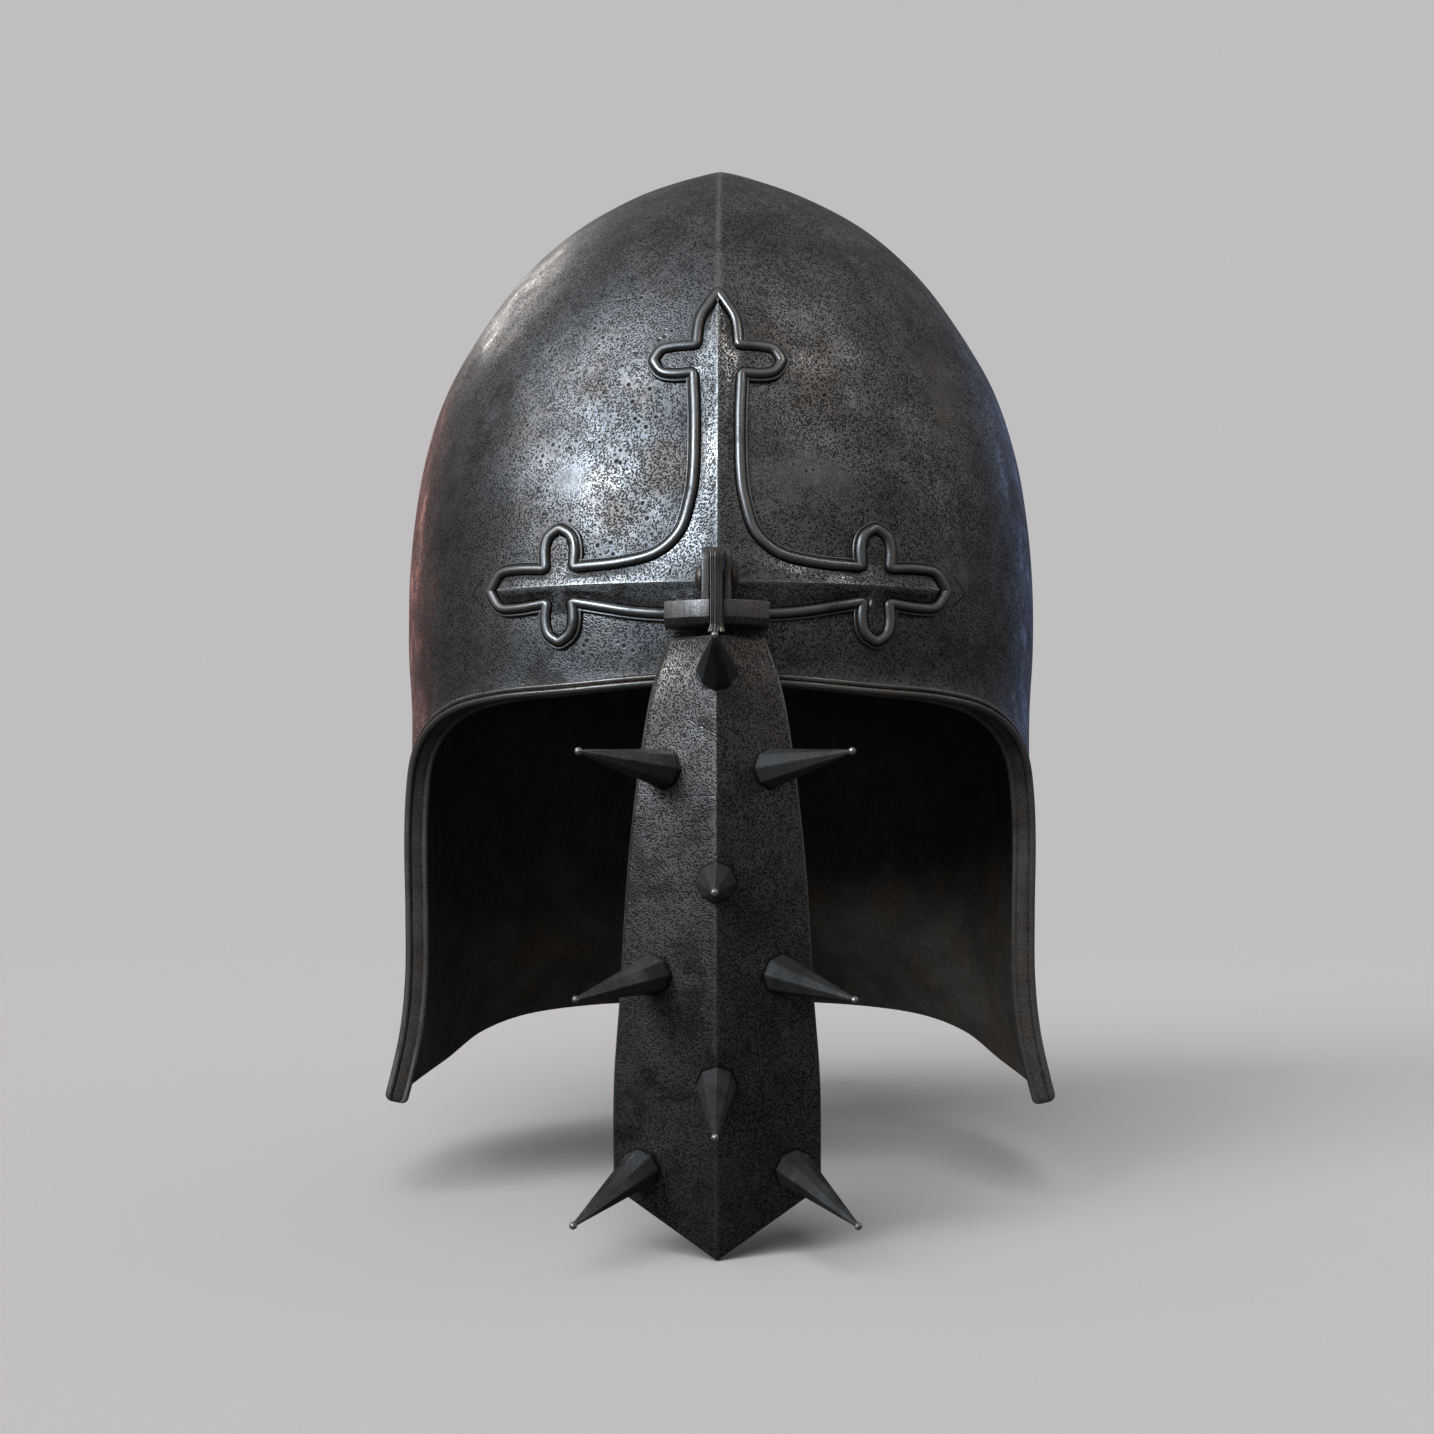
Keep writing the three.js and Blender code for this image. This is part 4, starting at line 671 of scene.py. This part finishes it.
def joined(first, steps):
    """The first body with others added or cut away, one after the other, as points and faces."""
    base = new_body("base", *first)
    tools = []
    for operation, other in steps:
        tools.append(new_body("tool", *other))
        change = base.modifiers.new("change", "BOOLEAN")
        change.operation, change.solver, change.object = operation, "EXACT", tools[-1]
    result = base.evaluated_get(bpy.context.evaluated_depsgraph_get()).to_mesh()
    places = np.empty(len(result.vertices) * 3)
    result.vertices.foreach_get("co", places)
    faces = [list(p.vertices) for p in result.polygons]
    for body in (base, *tools):
        bpy.data.objects.remove(body)
    return places.reshape(-1, 3) * 1000, faces


shelf_share = np.linspace(-1, 1, 41)
shelf_front = np.stack([shelf_share * SHELF_HALF_WIDTH,
                        SHELF_FRONT_Y + (SHELF_CORNER_Y - SHELF_FRONT_Y) * shelf_share**2], -1)
left_front = shelf_front[shelf_front[:, 0] < -slot_half - 1]
right_front = shelf_front[shelf_front[:, 0] > slot_half + 1]
shelf_outline = np.vstack([left_front, [(-slot_half, SLOT_MOUTH_Y), (-slot_half, SLOT_BACK_Y),
                                        (slot_half, SLOT_BACK_Y), (slot_half, SLOT_MOUTH_Y)],
                           right_front, [(SHELF_HALF_WIDTH, seat_y), (-SHELF_HALF_WIDTH, seat_y)]])
shelf_points, shelf_faces = slab(shelf_outline, SHELF_TOP_Z - SHELF_BOTTOM_Z, SHELF_ARRIS,
                                 (SHELF_TOP_Z + SHELF_BOTTOM_Z) / 2, SHELF_BEVEL_HEIGHT)
drawn_in = 1 - (shelf_points[:, 2] - SHELF_BOTTOM_Z) / SHELF_BEVEL_HEIGHT
drawn_in = np.clip(drawn_in, 0, 1) * (shelf_points[:, 1] < SHELF_CORNER_Y + 1)
shelf_points[:, 1] += SHELF_BEVEL_DEPTH * drawn_in
# The ears start inside the shelf and end in a rounded front corner
ear_low_z = SHELF_BOTTOM_Z + SHELF_BEVEL_HEIGHT + 0.3
ear_outline = [(seat_y, ear_low_z), (EAR_FRONT_Y, ear_low_z), (EAR_FRONT_Y, EAR_TOP_Z - 4.2),
               (EAR_FRONT_Y + 0.5, EAR_TOP_Z - 2.3), (EAR_FRONT_Y + 1.8, EAR_TOP_Z - 0.7),
               (EAR_FRONT_Y + 3.6, EAR_TOP_Z), (seat_y, EAR_TOP_Z)]
ears = []
for side in (-1, 1):
    points, faces = slab(ear_outline, EAR_THICKNESS, EAR_ARRIS, side * (slot_half + EAR_THICKNESS / 2))
    ears.append((points[:, [2, 0, 1]], faces))
pin_hole = turned([(PIN_RADIUS + WORKING_GAP, x) for x in (-PIN_HOLE_REACH, PIN_HOLE_REACH)])
pin_hole = pin_hole.reshape(-1, 3), tube_faces(2, PIN_SIDES)
bracket_points, bracket_faces = joined((shelf_points, shelf_faces), [
    ("UNION", ears[0]), ("UNION", ears[1]), ("DIFFERENCE", pin_hole)])
filed_steel = steel("filed_steel", (0.13, 0.121, 0.116), (0.275, 0.262, 0.255), (0.18, 0.14, 0.115),
                    0.42, 0.08, 0.35, 0.3, (0.42, 0.42, 0.42), 0.45, 0.95, filed=0.45)
make_piece("nasal_hinge_bracket", bracket_points, bracket_faces, [filed_steel], "helmet",
           "nasal_bracket", 28)


# Hinge pin: a steel pin through the ears and the tang, its two ends hammered to domes.
PIN_HEAD_RADIUS, PIN_HEAD_LENGTH = 3.9, 1.8
shank = slot_half + EAR_THICKNESS + WORKING_GAP
dome = np.radians(np.array([90, 78, 66, 54, 42, 30, 18, 6]))
head = np.stack([PIN_HEAD_RADIUS * np.cos(dome) ** 0.8, shank + PIN_HEAD_LENGTH * np.sin(dome)], -1)
half_profile = np.vstack([head, [(PIN_HEAD_RADIUS, shank + 0.1), (PIN_HEAD_RADIUS - 0.1, shank),
                                 (PIN_RADIUS, shank)]])
pin_rings = turned(np.vstack([half_profile, half_profile[::-1] * [1, -1]]))
bronzed_steel = steel("bronzed_steel", (0.12, 0.095, 0.08), (0.27, 0.225, 0.19), (0.14, 0.09, 0.06),
                      0.48, 0.1, 0.3, 0.3, (0.28, 0.25, 0.22), 0.5)
make_piece("nasal_hinge_pin", pin_rings.reshape(-1, 3), grid_faces(*pin_rings.shape[:2], True),
           [bronzed_steel], "helmet", "hinge_pin", 50)


# Nasal tang: the blade brazed on top of the nasal plate, that turns between the ears. Three
# grooves are filed down its front edge, and it spreads to a small foot on the plate.
TANG_FRONT_Y, TANG_FOOT_Z, TANG_NOSE_RADIUS, TANG_LOW_DEPTH = -155.6, 58.4, 8.2, 7
TANG_FOOT_DEPTH, TANG_FOOT_HEIGHT, TANG_FOOT_FLARE, TANG_TOP_RADIUS = 3, 1.7, 0.6, 3
GROOVE_DEPTH, GROOVE_PAIRS, GROOVED_SHARE, SIDE_ARRIS = 0.5, 2.5, 0.82, 0.35
tang_top = PIN_Z + TANG_NOSE_RADIUS
nose_turn = np.radians(90 - 130 * np.arange(25) / 24)
nose = np.stack([PIN_Y + TANG_NOSE_RADIUS * np.cos(nose_turn),
                 PIN_Z + TANG_NOSE_RADIUS * np.sin(nose_turn)], -1)
front_edge = np.stack([np.full(24, TANG_FRONT_Y),
                       np.linspace(TANG_FOOT_Z, tang_top - TANG_TOP_RADIUS, 24)], -1)
top_turn = np.radians(np.arange(1, 9) * 90 / 9)
front_top = np.stack([TANG_FRONT_Y + TANG_TOP_RADIUS * (1 - np.cos(top_turn)),
                      tang_top - TANG_TOP_RADIUS + TANG_TOP_RADIUS * np.sin(top_turn)], -1)
tang_side = np.vstack([front_edge, front_top, nose, [(TANG_FRONT_Y + TANG_LOW_DEPTH, TANG_FOOT_Z + 3),
                                                     (TANG_FRONT_Y + TANG_LOW_DEPTH, TANG_FOOT_Z)]])
tang_x = np.linspace(-1, 1, 25)
rounding = SIDE_ARRIS * np.clip((np.abs(tang_x) - 0.86) / 0.14, 0, 1) ** 2
groove = 0.5 - 0.5 * np.cos(2 * np.pi * GROOVE_PAIRS * (tang_x + 1))
groove = GROOVE_DEPTH * groove * (np.abs(tang_x) < GROOVED_SHARE)
front_share = np.clip((TANG_FRONT_Y + 2.5 - tang_side[:, 0]) / 2, 0, 1)
side_ahead = unit(np.roll(tang_side, -1, 0) - np.roll(tang_side, 1, 0))
side_away = np.stack([-side_ahead[:, 1], side_ahead[:, 0]], -1)
sunk = rounding[None] + groove[None] * front_share[:, None]
spread = TANG_FOOT_FLARE * np.clip(1 - (tang_side[:, 1] - TANG_FOOT_Z) / TANG_FOOT_HEIGHT, 0, 1) ** 0.7
spread *= tang_side[:, 0] < TANG_FRONT_Y + TANG_FOOT_DEPTH
tang_y = tang_side[:, None, 0] - side_away[:, None, 0] * sunk - spread[:, None]
tang_z = tang_side[:, None, 1] - side_away[:, None, 1] * sunk
tang_wide = tang_x[None] * (TANG_THICKNESS / 2 + spread[:, None])
tang_grid = np.stack([tang_wide, tang_y, np.maximum(tang_z, TANG_FOOT_Z)], -1)
rows, columns = tang_grid.shape[:2]
tang_body_faces = [*(grid_faces(rows + 1, columns) % (rows * columns)),
                   [r * columns for r in range(rows)], [r * columns + columns - 1 for r in range(rows)]]
tang_points, tang_faces = joined((tang_grid.reshape(-1, 3), tang_body_faces), [("DIFFERENCE", pin_hole)])
drawn_steel = steel("drawn_steel", (0.16, 0.145, 0.13), (0.31, 0.285, 0.26), (0.2, 0.15, 0.12),
                    0.36, 0.05, 0.25, 0.3, (0.4, 0.38, 0.36), 0.4, 0.95, filed=0.6)
make_piece("nasal_tang_blade", tang_points, tang_faces, [drawn_steel], "nasal", "nasal_tang",
           35)


# Nasal plate: a plate 2.4 mm thick, folded along its middle and curved with the face, cut to a
# point below. Its borders are chamfered, and it is scratched and pitted like the bowl.
# Half widths in mm at heights z
NASAL_WIDTHS = np.array([(57.8, 14.5), (42, 19.5), (19, 23.2), (-11, 26.4), (-49, 28.8), (-73, 30.6),
                         (-96, 31), (-126, 30.8)], float)
NASAL_CORNER_Z, NASAL_POINT_Z, NASAL_RIDGE_Y, NASAL_RIDGE_RADIUS = -106.6, -126.6, -157.5, 400
NASAL_FOLD_DEPTH, NASAL_SHEET, CHAMFER, CHAMFER_DEPTH = 13, 2.4, 0.8, 0.55
NASAL_DENTS, NASAL_DEEPEST_DENT, NASAL_SEED = 70, 0.8, 5
# The one plain dent, left of the ridge: its place, width and depth
PLAIN_DENT = (-4.5, -155.5, 30), 3, 0.45


def nasal_half(z):
    """Half width of the plate at z."""
    return table_at(NASAL_WIDTHS, z)[..., 0]


def nasal_front(x, z):
    """Front of the plate: two flanks that fall back evenly from a ridge curved as a parabola."""
    return NASAL_RIDGE_Y + z * z / (2 * NASAL_RIDGE_RADIUS) + np.abs(x) * NASAL_FOLD_DEPTH / nasal_half(z)


half_columns, plate_rows = 26, 150
shares = np.concatenate([[-1], np.linspace(-1, 1, 2 * half_columns + 1), [1]])
levels = np.concatenate([[0], np.linspace(0, 1, plate_rows), [1]])[:, None]
border_x = np.zeros((1, len(shares)))
border_x[0, [0, -1]] = 1
border_z = np.zeros((len(levels), 1))
border_z[[0, -1]] = 1
end_z = NASAL_POINT_Z + np.abs(shares) * (NASAL_CORNER_Z - NASAL_POINT_Z)
top_z = NASAL_WIDTHS[0, 0]
level_z = top_z - CHAMFER + (end_z + CHAMFER - top_z + CHAMFER) * levels
level_z = np.where(border_z > 0, np.where(levels < 0.5, top_z, end_z), level_z)
nasal_x = shares * (nasal_half(level_z) - CHAMFER * (1 - border_x))
fold = nasal_front(nasal_x, level_z)
lowered = CHAMFER_DEPTH * np.maximum(border_x, border_z)
ridge_round = 0.16 * np.exp(-((nasal_x / 0.9) ** 2))
random = np.random.default_rng(NASAL_SEED)
nasal_flat = np.stack([nasal_x, fold + lowered + ridge_round, level_z], -1)
dips = random.integers(0, nasal_flat.size // 3, NASAL_DENTS)
dip_places = nasal_flat.reshape(-1, 3)[dips]
dip_width = random.uniform(3, 8, NASAL_DENTS)
dip_depth = random.uniform(0.04, 0.16, NASAL_DENTS)
dip_places[0], dip_width[0], dip_depth[0] = PLAIN_DENT
gap = np.linalg.norm(nasal_flat.reshape(-1, 1, 3) - dip_places, axis=2)
dip = (dip_depth * np.exp(-((gap / dip_width) ** 2))).sum(1).reshape(nasal_x.shape)
nasal_flat[..., 1] += np.minimum(dip, NASAL_DEEPEST_DENT)
through = NASAL_SHEET * np.hypot(1, NASAL_FOLD_DEPTH / nasal_half(level_z))
nasal_back = np.stack([nasal_x, fold + through, level_z], -1)
rows, columns = nasal_x.shape
layer = rows * columns
front_faces = grid_faces(rows, columns)
index = np.arange(layer).reshape(rows, columns)
loop = np.concatenate([index[0, :-1], index[:-1, -1], index[-1, :0:-1], index[:0:-1, 0]])
after = np.roll(loop, -1)
nasal_faces = [*front_faces, *(front_faces[:, ::-1] + layer),
               *np.stack([loop, after, after + layer, loop + layer], -1)]
nasal_worn = np.zeros((2, rows, columns))
nasal_worn[0] = np.maximum(np.maximum(border_x, border_z), 0.35 * np.exp(-((nasal_x / 0.7) ** 2)))
nasal_points = np.vstack([nasal_flat.reshape(-1, 3), nasal_back.reshape(-1, 3)])
# Scratches as x and z of both ends and the width, in mm
NASAL_STROKES = [(-13.4, 35.9, 9.1, 23.3, 0.45), (-1, 33, 9.8, 26.5, 0.4), (-23.5, 11.4, 5.5, 10.2, 0.4),
                 (4, -29.8, 20, 0.7, 0.5), (5.2, -26, 14, -8, 0.45), (10.7, -50.6, 14.2, -86.6, 0.5),
                 (-20, -8, -12, -30, 0.4)]
plate_steel = steel("plate_steel", (0.135, 0.124, 0.12), (0.218, 0.207, 0.203), (0.15, 0.113, 0.09),
                    0.38, 0.2, 0.95, 0.35, (0.32, 0.312, 0.305), 0.45, 0.95, NASAL_STROKES)
make_piece("nasal_face_plate", nasal_points, nasal_faces, [plate_steel], "nasal", "nasal_plate",
           22, nasal_worn.reshape(-1))


# Spikes: nine eight-sided spikes forged from bar, ground to flat facets, blued in the fire, each
# with a small ball at its tip, brazed to the ridge and the flanks of the nasal.
SPIKE_LENGTH, SPIKE_RADIUS, SPIKE_NECK_RADIUS, SPIKE_BALL_RADIUS, SPIKE_SEAT = 45, 6, 0.65, 1.15, 0.1
# Foot on the plate as x and z in mm, then degrees to the side and degrees up
RIDGE_SPIKES = {"top": (0, 47.5, 0, 8), "mid": (0, -14.4, 0, -2.3), "low": (0, -73.5, 0, -12)}
FLANK_SPIKES = {"1": (15.7, 18.6, 30.5, 5), "2": (18.6, -41.5, 27, -6), "3": (22.4, -99.3, 24, -13.6)}
blued_steel = steel("blued_steel", (0.12, 0.127, 0.131), (0.2, 0.211, 0.218), (0.155, 0.123, 0.1),
                    0.38, 0.08, 0.45, 0.25, (0.38, 0.38, 0.38), 0.3, 0.88)


def spike_points(x, z, aside, up):
    """Rings of sixteen corners, wide facets with narrow ones between them, that shrink evenly
    from foot to neck, then swell to a ball. The foot ring is slid along the spike to the plate."""
    aside, up = math.radians(aside), math.radians(up)
    ahead = np.array([math.sin(aside) * math.cos(up), -math.cos(aside) * math.cos(up), math.sin(up)])
    sideways = unit(np.cross([0, 0, 1], ahead))
    upward = np.cross(ahead, sideways)
    facet = np.radians(90 + 45 * np.repeat(np.arange(8), 2) + np.tile([-2.6, 2.6], 8))
    neck = SPIKE_LENGTH - 2 * SPIKE_BALL_RADIUS
    latitude = np.radians(np.linspace(-52, 84, 9))
    cone_far = np.linspace(1.2, neck, 6)
    cone = SPIKE_RADIUS + (SPIKE_NECK_RADIUS - SPIKE_RADIUS) * cone_far / neck
    radius = np.concatenate([SPIKE_RADIUS + np.array([0.2, 0.1, -0.4, -0.4]), cone,
                             SPIKE_BALL_RADIUS * np.cos(latitude)])
    far = np.concatenate([[0, 0.5, 0.6, 1.0], cone_far, neck + SPIKE_BALL_RADIUS * (1 + np.sin(latitude))])
    foot = np.array([x, nasal_front(x, np.array(z, float)) - SPIKE_SEAT, z])
    rings = (foot + far[:, None, None] * ahead + radius[:, None, None]
             * (np.cos(facet)[:, None] * sideways + np.sin(facet)[:, None] * upward))
    for step in range(12):
        miss = nasal_front(rings[0, :, 0], rings[0, :, 2]) - SPIKE_SEAT - rings[0, :, 1]
        rings[:4] += ahead * (miss / ahead[1])[:, None]
    return rings


spikes = [*RIDGE_SPIKES.items(), *((f"right_{row}", spike) for row, spike in FLANK_SPIKES.items()),
          *((f"left_{row}", (-x, z, -aside, up)) for row, (x, z, aside, up) in FLANK_SPIKES.items())]
for name, spike in spikes:
    rings = spike_points(*spike)
    # Painted shade round the foot, bare steel on the ball
    row = np.arange(len(rings))
    tip_wear_and_foot_shade = np.repeat(0.8 * np.clip(row - 8, 0, 3) / 3 - (row < 4), rings.shape[1])
    make_piece(f"nasal_spike_{name}", rings.reshape(-1, 3), tube_faces(*rings.shape[:2]), [blued_steel],
               "nasal", f"spike_{name}", 15, tip_wear_and_foot_shade)


# Studio: a pale floor that fades into an even pale background, a large soft light from the
# front left, a weaker one from the right, and small ones behind for the edges.
FLOOR_Z, FLOOR_RADIUS, FLOOR_SIDES = -126.8, 2600, 64
PAPER, DIM_PAPER, BACKDROP = (0.59, 0.572, 0.574, 1), (0.05, 0.05, 0.05, 1), (0.527, 0.515, 0.521, 1)
# Light of the room from its floor to its ceiling, as seen in the metal
ROOM_LEVELS, ROOM_TINT = [(0.35, 0.055), (0.55, 0.095), (0.95, 0.27)], (1, 0.985, 0.975)
paper = bpy.data.materials.new("studio_floor")
sheet = Finish(paper)
radius = sheet.node("VectorMath", {"operation": "LENGTH"}, {0: sheet.place}, "Value")
seen = sheet.node("LightPath", {}, {}, "Is Camera Ray")
bright = sheet.node("BsdfDiffuse", {}, {"Color": PAPER})
dim = sheet.node("BsdfDiffuse", {}, {"Color": DIM_PAPER})
surface = sheet.node("MixShader", {}, {0: seen, 1: dim, 2: bright})
clear = sheet.node("BsdfTransparent", {}, {})
faded = sheet.node("MixShader", {}, {0: sheet.step(radius, 0.9, 2.2), 1: surface, 2: clear})
sheet.node("OutputMaterial", {}, {0: faded})
turn = np.arange(FLOOR_SIDES) * 2 * np.pi / FLOOR_SIDES
floor_points = np.stack([FLOOR_RADIUS * np.cos(turn), FLOOR_RADIUS * np.sin(turn),
                         np.full(FLOOR_SIDES, FLOOR_Z)], -1)
new_body("floor", floor_points, [range(FLOOR_SIDES)], [paper])

scene.world = bpy.data.worlds.new("studio")
room = Finish(scene.world)
height = room.node("SeparateXYZ", {}, {0: room.node("TexCoord", {}, {}, "Generated")}, "Z")
height = room.node("MapRange", {}, {"Value": height, "From Min": -1})
levels = [(share, (*(level * tint for tint in ROOM_TINT), 1)) for share, level in ROOM_LEVELS]
walls = room.node("Background", {}, {"Color": room.node("ValToRGB", {"stops": levels}, {0: height})})
backdrop = room.node("Background", {}, {"Color": BACKDROP})
seen = room.node("LightPath", {}, {}, "Is Camera Ray")
room.node("OutputWorld", {}, {0: room.node("MixShader", {}, {0: seen, 1: walls, 2: backdrop})})


def lamp(name, azimuth, elevation, strength, angle, colour, mirrored=True):
    """Soft distant light; azimuth 0 is in front of the face and 90 on its left (+X). It is
    mirrored by bright metal, or else it lights the floor and dull surfaces."""
    light = bpy.data.lights.new(name, "SUN")
    light.energy, light.angle, light.color = strength, math.radians(angle), colour
    a, e = math.radians(azimuth), math.radians(elevation)
    towards = Vector((math.sin(a) * math.cos(e), -math.cos(a) * math.cos(e), math.sin(e)))
    holder = bpy.data.objects.new(name, light)
    holder.rotation_euler = towards.to_track_quat("Z", "Y").to_euler()
    holder.visible_glossy, holder.visible_diffuse = mirrored, not mirrored
    scene.collection.objects.link(holder)


lamp("key", -40, 31, 2.05, 21, (0.77, 0.89, 1.0))
lamp("key_high", -58, 44, 0.35, 24, (0.86, 0.93, 1.0))
lamp("key_side", -74, 29, 0.42, 20, (0.92, 0.96, 1.0))
lamp("fill", 54, 48, 0.2, 9, (1.0, 0.95, 0.88))
lamp("side", 98, 27, 0.06, 10, (1.0, 0.98, 0.95))
lamp("back_left", -151, 31, 0.24, 12, (1.0, 0.95, 0.9))
lamp("back_red", -154, 9, 0.08, 18, (1.0, 0.45, 0.40))
lamp("back_blue", 151, 12, 0.055, 24, (0.28, 0.48, 1.0))
lamp("floor_key", -38, 25, 1.7, 30, (1, 1, 1), False)
lamp("floor_top", -10, 37, 2.4, 36, (1, 1, 1), False)
lamp("inner", 26, 4, 0.25, 110, (1.0, 0.96, 0.92), False)
